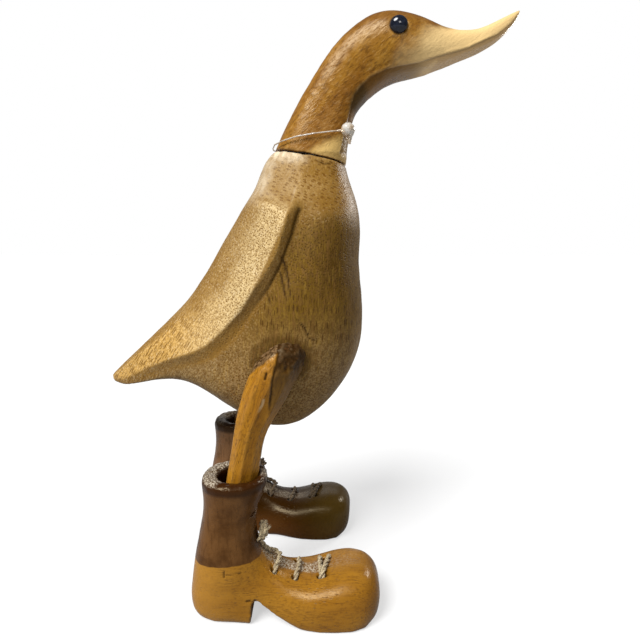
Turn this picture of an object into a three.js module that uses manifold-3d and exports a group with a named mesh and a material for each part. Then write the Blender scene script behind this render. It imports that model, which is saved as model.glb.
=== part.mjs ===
// A carved wooden duck that stands in a pair of laced ankle boots.
// Millimetres, +Z up, the bill towards +X, the duck's own left side towards +Y.
// The origin lies on the ground, under the middle of the duck.

import * as THREE from 'three';
import { LoftGeometry } from 'three/addons/geometries/LoftGeometry.js';
import { mergeVertices } from 'three/addons/utils/BufferGeometryUtils.js';
import Module from 'manifold-3d';

const wasm = await Module();
wasm.setup();

// Driving dimensions

const gap = 0.3; // air between pieces that touch
const smallestFlat = 0.8; // half width of the narrowest flat on a carved section
const bootSpacing = 63.4; // between the middles of the two boots
const rightBootX = -25.8; // middle of the right boot's rim
const leftBootX = -36.1; // the left foot stands a little further back
const toeIn = THREE.MathUtils.degToRad(2);

const socketRadius = 8.2; // the hole that takes the leg
const socketForward = 1.7; // its middle, ahead of the middle of the rim
const socketFloor = 44;

const eyeRadius = 4.0;
const eyeRise = 0.62; // how round the eye stands, against a full ball
const eyePlace = new THREE.Vector3(37.4, 13.9, 232.4);

const laceRadius = 0.8;
const cordSides = 8;
const tunnelRadius = 1.45;
const tunnelSides = 8;
const knotRadius = 2.5;

const loopRadius = 0.5;
const beadRadius = 2.9;
const lockPlace = new THREE.Vector3(18.7, -12.5, 194.9);

// Sections run from a point on the back to a point on the belly.
// half is half the width there. ridge and groove say how far across the wing's
// edge and the groove under it lie, proud and deep how much they stand out.
const bodyStations = [
  // back x and z, front x and z, half, ridge, groove, proud, deep
  [-86.7, 92.4, -85.8, 89.6, 4.2, 0.80, 0.92, 0, 0],
  [-80.0, 98.8, -77.0, 88.8, 10.0, 0.70, 0.86, 0.3, 0],
  [-69.2, 108.8, -62.0, 92.2, 16.5, 0.60, 0.78, 0.6, 0.1],
  [-61.0, 116.2, -47.0, 90.8, 21.2, 0.49, 0.63, 1.0, 0.3],
  [-53.7, 123.5, -32.8, 81.4, 24.8, 0.40, 0.495, 1.3, 0.8],
  [-47.6, 130.7, -17.6, 70.4, 27.2, 0.335, 0.42, 1.5, 1.2],
  [-42.0, 138.6, -1.0, 70.4, 28.5, 0.30, 0.38, 1.5, 1.4],
  [-37.5, 146.2, 15.6, 85.4, 29.0, 0.295, 0.37, 1.5, 1.6],
  [-33.0, 153.6, 24.6, 103.6, 29.0, 0.325, 0.40, 1.6, 1.7],
  [-28.9, 160.2, 26.3, 121.6, 28.6, 0.365, 0.44, 1.7, 1.7],
  [-25.4, 165.9, 24.4, 140.8, 27.8, 0.40, 0.485, 1.8, 1.7],
  [-22.0, 171.0, 25.2, 155.8, 25.8, 0.41, 0.49, 1.4, 1.2],
  [-20.6, 173.6, 24.9, 160.2, 23.4, 0.42, 0.49, 0, 0],
  [-18.9, 177.2, 23.2, 167.4, 20.4, 0.44, 0.49, 0, 0],
  [-17.0, 181.9, 20.5, 174.6, 16.9, 0.44, 0.49, 0, 0],
  [-15.3, 185.4, 19.1, 178.8, 15.4, 0.44, 0.49, 0, 0],
  [-12.1, 188.7, 18.2, 182.6, 14.0, 0.44, 0.49, 0, 0],
].map(([backX, backZ, frontX, frontZ, half, ridge, groove, proud, deep]) => (
  { backX, backZ, frontX, frontZ, half, ridge, groove, proud, deep }
));

// Neck, head and bill: from the line of the nape and crown to that of the throat.
// top and low are the half widths of the flats left along those two lines.
const headStations = [
  { backX: -11.6, backZ: 189.0, frontX: 18.4, frontZ: 182.95, half: 13.4, top: 1.5, low: 2 },
  { backX: -6.9, backZ: 198.8, frontX: 19.6, frontZ: 193.3, half: 12.2, top: 2.2, low: 3 },
  { backX: -2.3, backZ: 206.8, frontX: 21.0, frontZ: 200.3, half: 11.3, top: 2.6, low: 4 },
  { backX: 3.1, backZ: 215.6, frontX: 23.2, frontZ: 205.2, half: 10.9, top: 2.6, low: 4.4 },
  { backX: 8.5, backZ: 223.8, frontX: 27.0, frontZ: 209.6, half: 11.3, top: 2.4, low: 4.6 },
  { backX: 13.6, backZ: 230.4, frontX: 31.0, frontZ: 212.8, half: 12.3, top: 2, low: 4.8 },
  { backX: 19.0, backZ: 235.3, frontX: 34.6, frontZ: 215.2, half: 13.4, top: 1.6, low: 5 },
  { backX: 25.0, backZ: 239.2, frontX: 38.6, frontZ: 217.0, half: 14.2, top: 1.6, low: 5 },
  { backX: 32.0, backZ: 241.4, frontX: 43.2, frontZ: 218.2, half: 14.6, top: 1.6, low: 5 },
  { backX: 41.0, backZ: 240.9, frontX: 48.2, frontZ: 219.2, half: 13.9, top: 1.8, low: 5 },
  { backX: 49.0, backZ: 238.5, frontX: 54.0, frontZ: 220.8, half: 11.6, top: 2, low: 4.8 },
  { backX: 57.0, backZ: 235.4, frontX: 59.8, frontZ: 222.8, half: 9.0, top: 2.4, low: 4.6 },
  { backX: 65.0, backZ: 234.3, frontX: 66.2, frontZ: 225.2, half: 7.2, top: 2.6, low: 4.4 },
  { backX: 73.0, backZ: 235.8, frontX: 73.6, frontZ: 228.2, half: 6.2, top: 2.6, low: 4 },
  { backX: 79.8, backZ: 239.0, frontX: 80.0, frontZ: 232.2, half: 5.0, top: 2.2, low: 3.2 },
  { backX: 84.6, backZ: 241.4, frontX: 84.6, frontZ: 236.8, half: 3.4, top: 1.6, low: 2.2 },
  { backX: 86.9, backZ: 242.5, frontX: 86.8, frontZ: 240.6, half: 1.6, top: 0.8, low: 0.9 },
];

// The right leg, from its foot in the boot's socket up to the rounded thigh
const legStations = [
  { z: 44.3, x: -25.1, y: -31.7, halfX: 5.8, halfY: 5.9 },
  { z: 60, x: -22.4, y: -31.7, halfX: 6.0, halfY: 6.2 },
  { z: 70, x: -20.7, y: -31.6, halfX: 5.9, halfY: 6.4 },
  { z: 78, x: -18.8, y: -31.0, halfX: 6.5, halfY: 7.2 },
  { z: 87, x: -15.2, y: -29.6, halfX: 8.3, halfY: 8.8 },
  { z: 97, x: -10.9, y: -28.0, halfX: 9.6, halfY: 10.4 },
  { z: 104, x: -7.4, y: -27.2, halfX: 9.8, halfY: 10.2 },
  { z: 109.5, x: -4.8, y: -26.8, halfX: 7.8, halfY: 8.6 },
  { z: 112.6, x: -3.6, y: -26.4, halfX: 4.4, halfY: 5.0 },
];
const leftLegLean = leftBootX - rightBootX; // the left foot's set back, at its socket

// A boot as one carving, in its own frame: x from the middle of the rim towards the toe.
// Sections run from the front and instep line to the back and sole line,
// and the stations from the lip of the shaft to the toe.
const bootStations = [
  { frontX: 11.6, frontZ: 59.9, backX: -10.8, backZ: 60.2, half: 10.8, top: 0.8, low: 0.8, square: 2.2 },
  { frontX: 13.0, frontZ: 58.5, backX: -13.2, backZ: 58.8, half: 13.0, top: 0.8, low: 0.8, square: 2.2 },
  { frontX: 12.4, frontZ: 54.8, backX: -13.1, backZ: 54.6, half: 12.4, top: 0.8, low: 0.8, square: 2.2 },
  { frontX: 10.4, frontZ: 49.6, backX: -12.8, backZ: 49.0, half: 11.3, top: 0.8, low: 0.8, square: 2.2 },
  { frontX: 8.5, frontZ: 43.4, backX: -13.5, backZ: 42.2, half: 10.6, top: 0.8, low: 0.8, square: 2.2 },
  { frontX: 8.0, frontZ: 37.0, backX: -15.0, backZ: 35.0, half: 10.8, top: 1.2, low: 0.8, square: 2.2 },
  { frontX: 8.6, frontZ: 31.2, backX: -16.6, backZ: 27.6, half: 11.4, top: 2.2, low: 0.8, square: 2.2 },
  { frontX: 10.4, frontZ: 26.6, backX: -18.2, backZ: 18.0, half: 11.8, top: 3.2, low: 0.8, square: 2.2 },
  { frontX: 12.6, frontZ: 23.4, backX: -19.3, backZ: 9.0, half: 11.7, top: 3.8, low: 0.9, square: 2.3 },
  { frontX: 14.2, frontZ: 21.9, backX: -18.5, backZ: 3.4, half: 11.6, top: 4.0, low: 1.8, square: 2.4 },
  { frontX: 15.8, frontZ: 20.9, backX: -15.6, backZ: 0.6, half: 11.5, top: 4.1, low: 3.4, square: 2.6 },
  { frontX: 17.4, frontZ: 19.9, backX: -9.6, backZ: 0.0, half: 11.4, top: 4.2, low: 6.4, square: 3.0 },
  { frontX: 19.2, frontZ: 18.9, backX: 0.6, backZ: 0.0, half: 11.4, top: 4.4, low: 7.4, square: 3.4 },
  { frontX: 21.6, frontZ: 17.9, backX: 11.0, backZ: 0.0, half: 12.2, top: 4.5, low: 8.2, square: 3.6 },
  { frontX: 24.8, frontZ: 17.2, backX: 19.5, backZ: 0.0, half: 13.6, top: 4.7, low: 10.4, square: 4 },
  { frontX: 29.0, frontZ: 16.8, backX: 27.5, backZ: 0.0, half: 15.0, top: 4.9, low: 12.4, square: 4 },
  { frontX: 34.2, frontZ: 17.9, backX: 34.0, backZ: 0.0, half: 15.9, top: 5.1, low: 13.6, square: 4 },
  { frontX: 40.4, frontZ: 19.7, backX: 40.6, backZ: 0.0, half: 16.2, top: 5.3, low: 13.6, square: 4 },
  { frontX: 47.2, frontZ: 20.9, backX: 46.6, backZ: 0.0, half: 15.9, top: 5.3, low: 12.8, square: 4 },
  { frontX: 53.2, frontZ: 20.3, backX: 52.0, backZ: 0.0, half: 14.2, top: 4.6, low: 10.2, square: 3.4 },
  { frontX: 57.2, frontZ: 17.4, backX: 56.2, backZ: 1.4, half: 11.0, top: 3.2, low: 5.6, square: 2.8 },
  { frontX: 58.6, frontZ: 13.2, backX: 57.9, backZ: 4.8, half: 7.2, top: 1.8, low: 3.0, square: 2.4 },
];

// The saw cut in front of the heel and the scoop ahead of it, seen from the side
const archOutline = [
  [6.1, -2], [6.3, 0], [6.9, 9.4], [8.0, 10.6], [9.6, 10.7],
  [12.6, 8.5], [16.7, 5.4], [20.6, 2.6], [25.5, 0.3], [31, -2],
];
const leftArch = { forward: -5.2, length: 0.62, height: 0.7 }; // the left boot's cut is shorter

// Where the lace crosses the instep, along the boot. The last crossing is wound twice.
const crossings = {
  right: [15.6, 24.2, 34.4, 36.4],
  left: [16.6, 27.4, 38.6, 40.6],
};
const laceLift = laceRadius + gap + 0.1; // from the instep to the middle of a lace on it
const knotPlaces = {
  right: new THREE.Vector3(10.9, 0, 35),
  left: new THREE.Vector3(10.9, 0, 33),
};

// A value on the smooth curve through evenly numbered values
function smoothValue(values, t) {
  const i = Math.min(Math.floor(t), values.length - 2);
  const f = t - i;
  const before = values[Math.max(i - 1, 0)];
  const after = values[Math.min(i + 2, values.length - 1)];
  const rise = values[i + 1] - values[i];
  const slopeIn = (values[i + 1] - before) / 2;
  const slopeOut = (after - values[i]) / 2;
  const bend = 3 * rise - 2 * slopeIn - slopeOut;
  return values[i] + f * (slopeIn + f * (bend + f * (slopeIn + slopeOut - 2 * rise)));
}

// The same for every measure of a list of stations
function smoothStation(stations, t) {
  const result = {};
  for (const key of Object.keys(stations[0])) {
    result[key] = smoothValue(stations.map((station) => station[key]), t);
  }
  return result;
}

// Half of a carved section, as [share of the way across, half width] pairs.
// It starts on a flat, swells to half in the middle, and ends on another flat.
function carvedHalf({ half, top, low, round, square = round }) {
  const widest = 0.5;
  const steps = 4;
  const flatTop = Math.max(top, smallestFlat);
  const flatLow = Math.max(low, smallestFlat);
  const points = [[0, 0]];
  for (let i = 0; i <= steps; i += 1) {
    const angle = (i / steps) * Math.PI / 2;
    const across = widest * (1 - Math.cos(angle) ** (2 / round));
    points.push([across, flatTop + (half - flatTop) * Math.sin(angle) ** (2 / round)]);
  }
  for (let i = 1; i <= steps; i += 1) {
    const angle = (i / steps) * Math.PI / 2;
    const across = widest + (1 - widest) * Math.sin(angle) ** (2 / square);
    points.push([across, flatLow + (half - flatLow) * Math.cos(angle) ** (2 / square)]);
  }
  points.push([1, 0]);
  return points;
}

// Half of a body section, with the wing's flat face, its crisp edge and the groove under it
function wingedHalf({ half, ridge, groove, proud, deep }) {
  const widest = 0.52;
  const round = 2.15;
  const faceStart = 0.3 * ridge;
  const swell = (share) => half * (1 - Math.abs(1 - share / widest) ** round) ** (1 / round);
  const faceEdge = swell(faceStart) + 0.35 * proud;
  const ridgeEdge = swell(Math.min(ridge, widest)) + proud;
  const grooveEdge = swell(Math.min(groove, widest)) - deep;
  const points = [[0, 0]];
  const backSteps = 3;
  for (let i = 0; i < backSteps; i += 1) {
    const share = faceStart * Math.max(i / backSteps, 0.04) ** 2;
    points.push([share, faceEdge / swell(faceStart) * swell(share)]);
  }
  const faceSteps = 3;
  for (let i = 0; i < faceSteps; i += 1) {
    const f = i / faceSteps;
    points.push([faceStart + (ridge - faceStart) * f, faceEdge + (ridgeEdge - faceEdge) * f]);
  }
  points.push([ridge, ridgeEdge]);
  points.push([groove, grooveEdge]);
  const flankEnd = Math.max(groove + 0.12, widest);
  const frontSteps = 5;
  for (let i = 0; i <= frontSteps; i += 1) {
    const angle = (i / frontSteps) * Math.PI / 2;
    const across = flankEnd + (1 - flankEnd) * Math.sin(angle) ** (2 / round);
    points.push([across, smallestFlat + (half - smallestFlat) * Math.cos(angle) ** (2 / round)]);
  }
  points.push([1, 0]);
  return points;
}

// A closed ring of points from half a section: down the right side, up the left
function ring(from, to, halfSection, grow = 0) {
  const along = new THREE.Vector3(to.x - from.x, 0, to.z - from.z);
  const outward = along.clone().normalize().multiplyScalar(grow);
  const start = new THREE.Vector3(from.x, 0, from.z).sub(outward);
  along.addScaledVector(outward, 2);
  const place = ([share, width], side) => {
    const point = start.clone().addScaledVector(along, share);
    point.y = side * (width > 0 ? width + grow : 0);
    return point;
  };
  const right = halfSection.map((pair) => place(pair, -1));
  const left = halfSection.slice(1, -1).reverse().map((pair) => place(pair, 1));
  return [...right, ...left];
}

function closedLoft(sections) {
  return new LoftGeometry(sections, { closed: true, capStart: true, capEnd: true });
}

// Places of the sections: half way between stations too, where these stand wide apart
function sectionPlaces(stations, wideUntil) {
  const places = [];
  for (let t = 0; t < stations.length; t += t < wideUntil ? 0.5 : 1) places.push(t);
  return places;
}

function bodyGeometry(grow = 0) {
  const sections = sectionPlaces(bodyStations, 11).map((t) => {
    const s = smoothStation(bodyStations, t);
    const back = { x: s.backX, z: s.backZ };
    const front = { x: s.frontX, z: s.frontZ };
    return ring(back, front, wingedHalf(s), grow);
  });
  return closedLoft(sections);
}

function headSection(t, grow = 0) {
  const s = smoothStation(headStations, t);
  const back = { x: s.backX, z: s.backZ };
  const front = { x: s.frontX, z: s.frontZ };
  return ring(back, front, carvedHalf({ ...s, round: 2.4 }), grow);
}

function headGeometry(grow = 0) {
  return closedLoft(sectionPlaces(headStations, 13).map((t) => headSection(t, grow)));
}

// The leg is whittled to flats: an eight-sided bar with its front outer corner cut back
function legGeometry(lean) {
  const corners = [
    [-1, -0.55], [-0.6, -1], [-0.02, -1], [0.62, -0.62], [1, -0.1],
    [1, 0.5], [0.5, 1], [-0.5, 1], [-1, 0.45],
  ];
  const rim = bootStations[0].frontZ;
  const hip = legStations[legStations.length - 1].z;
  const sections = sectionPlaces(legStations, legStations.length).map((t) => {
    const s = smoothStation(legStations, t);
    const shift = lean * (1 - Math.max(s.z - rim, 0) / (hip - rim));
    return corners.map(([x, y]) => new THREE.Vector3(
      s.x + shift + x * s.halfX,
      s.y + y * s.halfY,
      s.z,
    ));
  });
  return closedLoft(sections);
}

// Height of the boot's front and instep line
function instepHeight(x) {
  const next = bootStations.findIndex((s, i) => i > 5 && s.frontX >= x);
  const a = bootStations[next - 1];
  const b = bootStations[next];
  return a.frontZ + (b.frontZ - a.frontZ) * (x - a.frontX) / (b.frontX - a.frontX);
}

// One crossing of the lace, from its hole on the left side to that on the right:
// how far across the boot, and how far above the instep line of a lace that lies on it
const crossingProfile = [
  [6.4, -3.0], [5.9, -1.1], [4.8, -0.1], [2.8, 0], [-2.0, 0], [-3.7, -0.1], [-4.7, -1.1], [-5.2, -3.0],
];
const tunnelAcross = 4.4;
const tunnelDepth = 5.6;
const mouthPoint = 2; // of the profile, where the lace bends down at a hole

function crossingPoints(x) {
  const slant = 0.05; // the right end of each crossing lies a little further back
  return crossingProfile.map(([across, rise]) => new THREE.Vector3(
    x + slant * across,
    across,
    instepHeight(x) + laceLift + rise,
  ));
}

// The bore from the right end of a crossing to the left end of the next
function borePoints(x, next) {
  const depth = instepHeight(x) + laceLift - tunnelDepth;
  const enter = new THREE.Vector3(x - 0.3, -tunnelAcross, depth);
  if (next === undefined) return [enter, new THREE.Vector3(x - 0.3, 1 - tunnelAcross / 2, depth)];
  return [enter, new THREE.Vector3(next + 0.3, tunnelAcross, instepHeight(next) + laceLift - tunnelDepth)];
}

// The lace's middle line: from the knot down the ankle, then over and under the instep
function lacePoints(side) {
  const places = crossings[side];
  const first = places[0];
  const points = [
    knotPlaces[side].clone(),
    new THREE.Vector3(10.2, 2.8, 32.4),
    new THREE.Vector3(10.3, 4.4, 30.2),
    new THREE.Vector3(11.4, 5.0, 27.6),
    new THREE.Vector3(13.3, 5.0, instepHeight(13.3) + laceLift + 0.4),
    new THREE.Vector3(first - 0.6, 4.6, instepHeight(first - 0.6) + laceLift + 0.1),
    ...crossingPoints(first).slice(mouthPoint + 1),
  ];
  places.forEach((x, i) => {
    points.push(...borePoints(x, places[i + 1]));
    if (i + 1 < places.length) points.push(...crossingPoints(places[i + 1]));
  });
  return points;
}

// A bore for the lace, from the bend at one hole to the bend at the next
function tunnelPoints(side, i) {
  const places = crossings[side];
  const points = crossingPoints(places[i]).slice(-1 - mouthPoint);
  points.push(...borePoints(places[i], places[i + 1]));
  if (i + 1 < places.length) return [...points, ...crossingPoints(places[i + 1]).slice(0, mouthPoint + 1)];
  const end = points[points.length - 1];
  return [...points, end.clone().add(new THREE.Vector3(0, 1, 0))];
}

// A round cord of a given radius through a row of points
function cordGeometry(points, radius, sides = cordSides) {
  const normal = new THREE.Vector3(1, 0, 0);
  const sections = points.map((point, i) => {
    const into = point.clone().sub(points[Math.max(i - 1, 0)]).normalize();
    const onward = points[Math.min(i + 1, points.length - 1)].clone().sub(point).normalize();
    const along = into.add(onward).normalize();
    normal.addScaledVector(along, -normal.dot(along)).normalize();
    const across = along.clone().cross(normal);
    return Array.from({ length: sides }, (_, k) => {
      const angle = k / sides * 2 * Math.PI;
      return point.clone()
        .addScaledVector(normal, radius * Math.cos(angle))
        .addScaledVector(across, radius * Math.sin(angle));
    });
  });
  return closedLoft(sections);
}

// Lace with the lump of its knot and the knot's short loose end
function laceSolid(side) {
  const knotPlace = knotPlaces[side];
  const knot = new THREE.SphereGeometry(knotRadius, 8, 6);
  knot.scale(0.9, 1.1, 1.2).translate(knotPlace.x, knotPlace.y, knotPlace.z);
  const looseEnd = [
    new THREE.Vector3(0, 0, 0),
    new THREE.Vector3(0.9, -2.2, -3.2),
    new THREE.Vector3(1.0, -3.2, -4.8),
  ];
  return toSolid(cordGeometry(lacePoints(side), laceRadius))
    .add(toSolid(knot))
    .add(toSolid(cordGeometry(looseEnd.map((offset) => offset.add(knotPlace)), laceRadius)));
}

// The clear filament lies round the foot of the neck, high in front, and ends in its lock
function loopSolid() {
  const clearance = loopRadius + gap + 0.2;
  const atBack = 0.06;
  const atFront = 1.45;
  const around = headSection(0, 0).length;
  const lockAt = Math.round(around * 0.35);
  const points = [];
  for (let i = 0; i <= around; i += 1) {
    const index = (lockAt + i) % around;
    const share = 0.5 - 0.5 * Math.cos(index / around * 2 * Math.PI);
    points.push(headSection(atBack + (atFront - atBack) * share, clearance)[index]);
  }
  points[0] = lockPlace.clone();
  points[around] = lockPlace.clone();
  const bead = new THREE.SphereGeometry(beadRadius, 10, 7);
  bead.translate(lockPlace.x, lockPlace.y, lockPlace.z);
  const pin = new THREE.CylinderGeometry(1.3, 0.7, 4.6, 8);
  pin.rotateX(Math.PI / 2).translate(lockPlace.x + 0.7, lockPlace.y + 0.3, lockPlace.z - 3.2);
  return toSolid(cordGeometry(points, loopRadius)).add(toSolid(bead)).add(toSolid(pin));
}

function bootGeometry() {
  const sections = bootStations.map((s) => {
    const front = { x: s.frontX, z: s.frontZ };
    const back = { x: s.backX, z: s.backZ };
    return ring(front, back, carvedHalf({ ...s, round: 2.2 }));
  });
  return closedLoft(sections);
}

// The cut under the boot's waist, straight across
function archGeometry(side) {
  const { forward, length, height } = side === 'left' ? leftArch : { forward: 0, length: 1, height: 1 };
  const start = archOutline[0][0];
  const outline = archOutline.map(([x, z]) => new THREE.Vector2(
    start + forward + (x - start) * length,
    z > 0 ? z * height : z,
  ));
  const geometry = new THREE.ExtrudeGeometry(new THREE.Shape(outline), { depth: 40, bevelEnabled: false });
  return geometry.rotateX(Math.PI / 2).translate(0, 20, 0);
}

// The hole in the shaft, with its mouth rounded over
function socketGeometry() {
  const mouth = 60;
  const profile = [
    [0, socketFloor], [socketRadius, socketFloor], [socketRadius, mouth - 2.6],
    [socketRadius + 1, mouth - 0.7], [socketRadius + 3, mouth + 1], [0, mouth + 1],
  ];
  const geometry = new THREE.LatheGeometry(profile.map(([x, y]) => new THREE.Vector2(x, y)), 16);
  return geometry.rotateX(Math.PI / 2).translate(socketForward, 0, 0);
}

// Solids for cutting and joining

function toSolid(geometry) {
  const bare = new THREE.BufferGeometry();
  bare.setAttribute('position', geometry.attributes.position);
  bare.setIndex(geometry.index);
  const merged = mergeVertices(bare, 1e-4);
  const mesh = new wasm.Mesh({
    numProp: 3,
    vertProperties: new Float32Array(merged.attributes.position.array),
    triVerts: new Uint32Array(merged.index.array),
  });
  return new wasm.Manifold(mesh);
}

function toGeometry(solid) {
  const mesh = solid.getMesh();
  const geometry = new THREE.BufferGeometry();
  geometry.setAttribute('position', new THREE.BufferAttribute(mesh.vertProperties, 3));
  geometry.setIndex(new THREE.BufferAttribute(mesh.triVerts, 1));
  geometry.computeVertexNormals();
  return geometry;
}

const materials = {
  body: new THREE.MeshStandardMaterial({ color: 0xa98148, roughness: 0.45, metalness: 0 }),
  head: new THREE.MeshStandardMaterial({ color: 0x9a6c35, roughness: 0.35, metalness: 0 }),
  leg: new THREE.MeshStandardMaterial({ color: 0xa96f28, roughness: 0.35, metalness: 0 }),
  boot: new THREE.MeshStandardMaterial({ color: 0xa9702e, roughness: 0.3, metalness: 0 }),
  lace: new THREE.MeshStandardMaterial({ color: 0xa4946c, roughness: 0.95, metalness: 0 }),
  eye: new THREE.MeshStandardMaterial({ color: 0x090b10, roughness: 0.08, metalness: 0 }),
  loop: new THREE.MeshStandardMaterial({ color: 0xe4e0d4, roughness: 0.35, metalness: 0 }),
};

const duck = new THREE.Group();

function addMesh(name, geometry, material, parent = duck) {
  const mesh = new THREE.Mesh(geometry, material.clone());
  mesh.name = name;
  parent.add(mesh);
  return mesh;
}

addMesh('body', bodyGeometry(), materials.body);
addMesh('head_neck', headGeometry(), materials.head);

const bodyClearance = toSolid(bodyGeometry(gap));
const headClearance = toSolid(headGeometry(gap));

for (const side of ['right', 'left']) {
  const rightLeg = toSolid(legGeometry(side === 'right' ? 0 : leftLegLean));
  const leg = side === 'right' ? rightLeg : rightLeg.mirror([0, 1, 0]);
  addMesh(`leg_${side}`, toGeometry(leg.subtract(bodyClearance)), materials.leg);

  const bead = new THREE.SphereGeometry(eyeRadius, 12, 8);
  bead.scale(1, eyeRise, 1);
  bead.translate(eyePlace.x, side === 'right' ? -eyePlace.y : eyePlace.y, eyePlace.z);
  addMesh(`eye_${side}`, toGeometry(toSolid(bead).subtract(headClearance)), materials.eye);

  const boot = new THREE.Group();
  const hand = side === 'right' ? -1 : 1;
  boot.position.set(side === 'right' ? rightBootX : leftBootX, hand * bootSpacing / 2, 0);
  boot.rotation.z = -hand * toeIn;
  duck.add(boot);
  let bootSolid = toSolid(bootGeometry())
    .subtract(toSolid(socketGeometry()))
    .subtract(toSolid(archGeometry(side)));
  for (let i = 0; i < crossings[side].length; i += 1) {
    bootSolid = bootSolid.subtract(toSolid(cordGeometry(tunnelPoints(side, i), tunnelRadius, tunnelSides)));
  }
  addMesh(`boot_${side}`, toGeometry(bootSolid), materials.boot, boot);
  addMesh(`lace_${side}`, toGeometry(laceSolid(side)), materials.lace, boot);
}
addMesh('tag_loop', toGeometry(loopSolid()), materials.loop);

export default duck;
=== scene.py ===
import math

import bmesh
import bpy
import numpy as np
from mathutils import Matrix, Vector


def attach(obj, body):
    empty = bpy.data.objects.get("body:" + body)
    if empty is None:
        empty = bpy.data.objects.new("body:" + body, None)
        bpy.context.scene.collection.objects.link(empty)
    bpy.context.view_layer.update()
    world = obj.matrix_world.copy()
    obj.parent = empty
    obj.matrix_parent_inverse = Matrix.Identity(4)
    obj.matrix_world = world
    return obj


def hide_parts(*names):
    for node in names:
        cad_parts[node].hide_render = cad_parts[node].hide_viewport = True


# A carved wooden duck in a pair of laced boots, finished as folk carvers finish it.
# The bill points towards +X and the duck's own left side is +Y. The dictionaries and the
# carving are in millimetres, Blender's objects and the places in the materials in metres.

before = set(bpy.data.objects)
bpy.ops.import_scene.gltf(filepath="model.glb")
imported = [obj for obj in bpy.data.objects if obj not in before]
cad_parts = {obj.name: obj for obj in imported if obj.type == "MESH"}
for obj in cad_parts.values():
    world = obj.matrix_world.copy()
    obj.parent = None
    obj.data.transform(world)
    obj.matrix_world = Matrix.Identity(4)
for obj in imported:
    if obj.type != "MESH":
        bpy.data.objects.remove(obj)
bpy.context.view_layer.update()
mm = 0.001
sides = ("right", "left")
print("frame loaded:", len(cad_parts), "solids")


# The photographer's place, the lamps and the table

cameraSettings = {
    "place": (14.11, -215.35, 150.8),
    "turn": -1.82,  # degrees to the right of straight ahead
    "dip": 8.93,  # degrees below the horizon
    "lens": 27.56, "sensor": 36,
    "clip": (0.01, 20),  # metres
}
lamps = {
    "windowLight": {"kind": "SUN", "place": (-215, -285, 420), "aim": (0, 0, 0), "size": 30, "power": 4.75},
    "nearSoftbox": {"kind": "AREA", "place": (110, -420, 400), "aim": (0, 0, 60), "size": 110, "power": 0.3},
    "backWindow": {"kind": "AREA", "place": (-60, 620, 250), "aim": (0, 0, 90), "size": 430, "power": 0.3},
    "breastStrip": {
        "kind": "AREA", "place": (300, 240, 300), "aim": (20, 0, 165), "size": 110, "power": 0.85},
}
roomSettings = {
    "paper": 1.0, "fill": 0.14, "table": 0.36, "tableGlow": 0.55,
    "tableReach": 6,  # metres
}


def aimAt(thing, place, aim):
    thing.location = Vector(place) * mm
    thing.rotation_mode = "QUATERNION"
    thing.rotation_quaternion = (Vector(aim) * mm - thing.location).to_track_quat("-Z", "Y")


def makeCamera(settings):
    camera = bpy.data.objects.new("camera", bpy.data.cameras.new("camera"))
    turn, dip = math.radians(settings["turn"]), math.radians(settings["dip"])
    ahead = Vector((math.sin(turn) * math.cos(dip), math.cos(turn) * math.cos(dip), -math.sin(dip)))
    aimAt(camera, settings["place"], Vector(settings["place"]) + ahead * 100)
    camera.data.lens = settings["lens"]
    camera.data.sensor_width = settings["sensor"]
    camera.data.clip_start, camera.data.clip_end = settings["clip"]
    bpy.context.scene.collection.objects.link(camera)
    bpy.context.scene.camera = camera


def makeLamps(settings):
    for name, lamp in settings.items():
        light = bpy.data.lights.new(name, lamp["kind"])
        if lamp["kind"] == "SUN":
            light.angle = math.radians(lamp["size"])
        else:
            light.size = lamp["size"] * mm
        light.energy = lamp["power"]
        holder = bpy.data.objects.new(name, light)
        aimAt(holder, lamp["place"], lamp["aim"])
        bpy.context.scene.collection.objects.link(holder)


def seenOnly(tree, unseen, seen):
    # one value for what the camera sees straight, another for the light it sends
    path = tree.nodes.new("ShaderNodeLightPath")
    strength = tree.nodes.new("ShaderNodeMapRange")
    strength.inputs["To Min"].default_value = unseen
    strength.inputs["To Max"].default_value = seen
    tree.links.new(path.outputs["Is Camera Ray"], strength.inputs["Value"])
    return strength.outputs["Result"]


def makeRoom(settings):
    world = bpy.data.worlds.new("paleRoom")
    world.use_nodes = True
    background = world.node_tree.nodes["Background"]
    background.inputs["Color"].default_value = (1, 1, 1, 1)
    strength = seenOnly(world.node_tree, settings["fill"], settings["paper"])
    world.node_tree.links.new(strength, background.inputs["Strength"])
    bpy.context.scene.world = world
    table = bmesh.new()
    bmesh.ops.create_grid(table, x_segments=2, y_segments=2, size=settings["tableReach"])
    mesh = bpy.data.meshes.new("table")
    table.to_mesh(mesh)
    table.free()
    floor = bpy.data.objects.new("table", mesh)
    bpy.context.scene.collection.objects.link(floor)
    paper = bpy.data.materials.new("paleTable")
    paper.use_nodes = True
    shader = paper.node_tree.nodes["Principled BSDF"]
    shader.inputs["Base Color"].default_value = (*[settings["table"]] * 3, 1)
    shader.inputs["Roughness"].default_value = 1.0
    shader.inputs["Specular IOR Level"].default_value = 0.0
    shader.inputs["Emission Color"].default_value = (1, 1, 1, 1)
    glow = seenOnly(paper.node_tree, 0.0, settings["tableGlow"])
    paper.node_tree.links.new(glow, shader.inputs["Emission Strength"])
    mesh.materials.append(paper)


makeCamera(cameraSettings)
makeLamps(lamps)
makeRoom(roomSettings)
bpy.context.scene.view_settings.view_transform = "Standard"
print("camera, lamps and table stand")


# Carving tools

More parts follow.
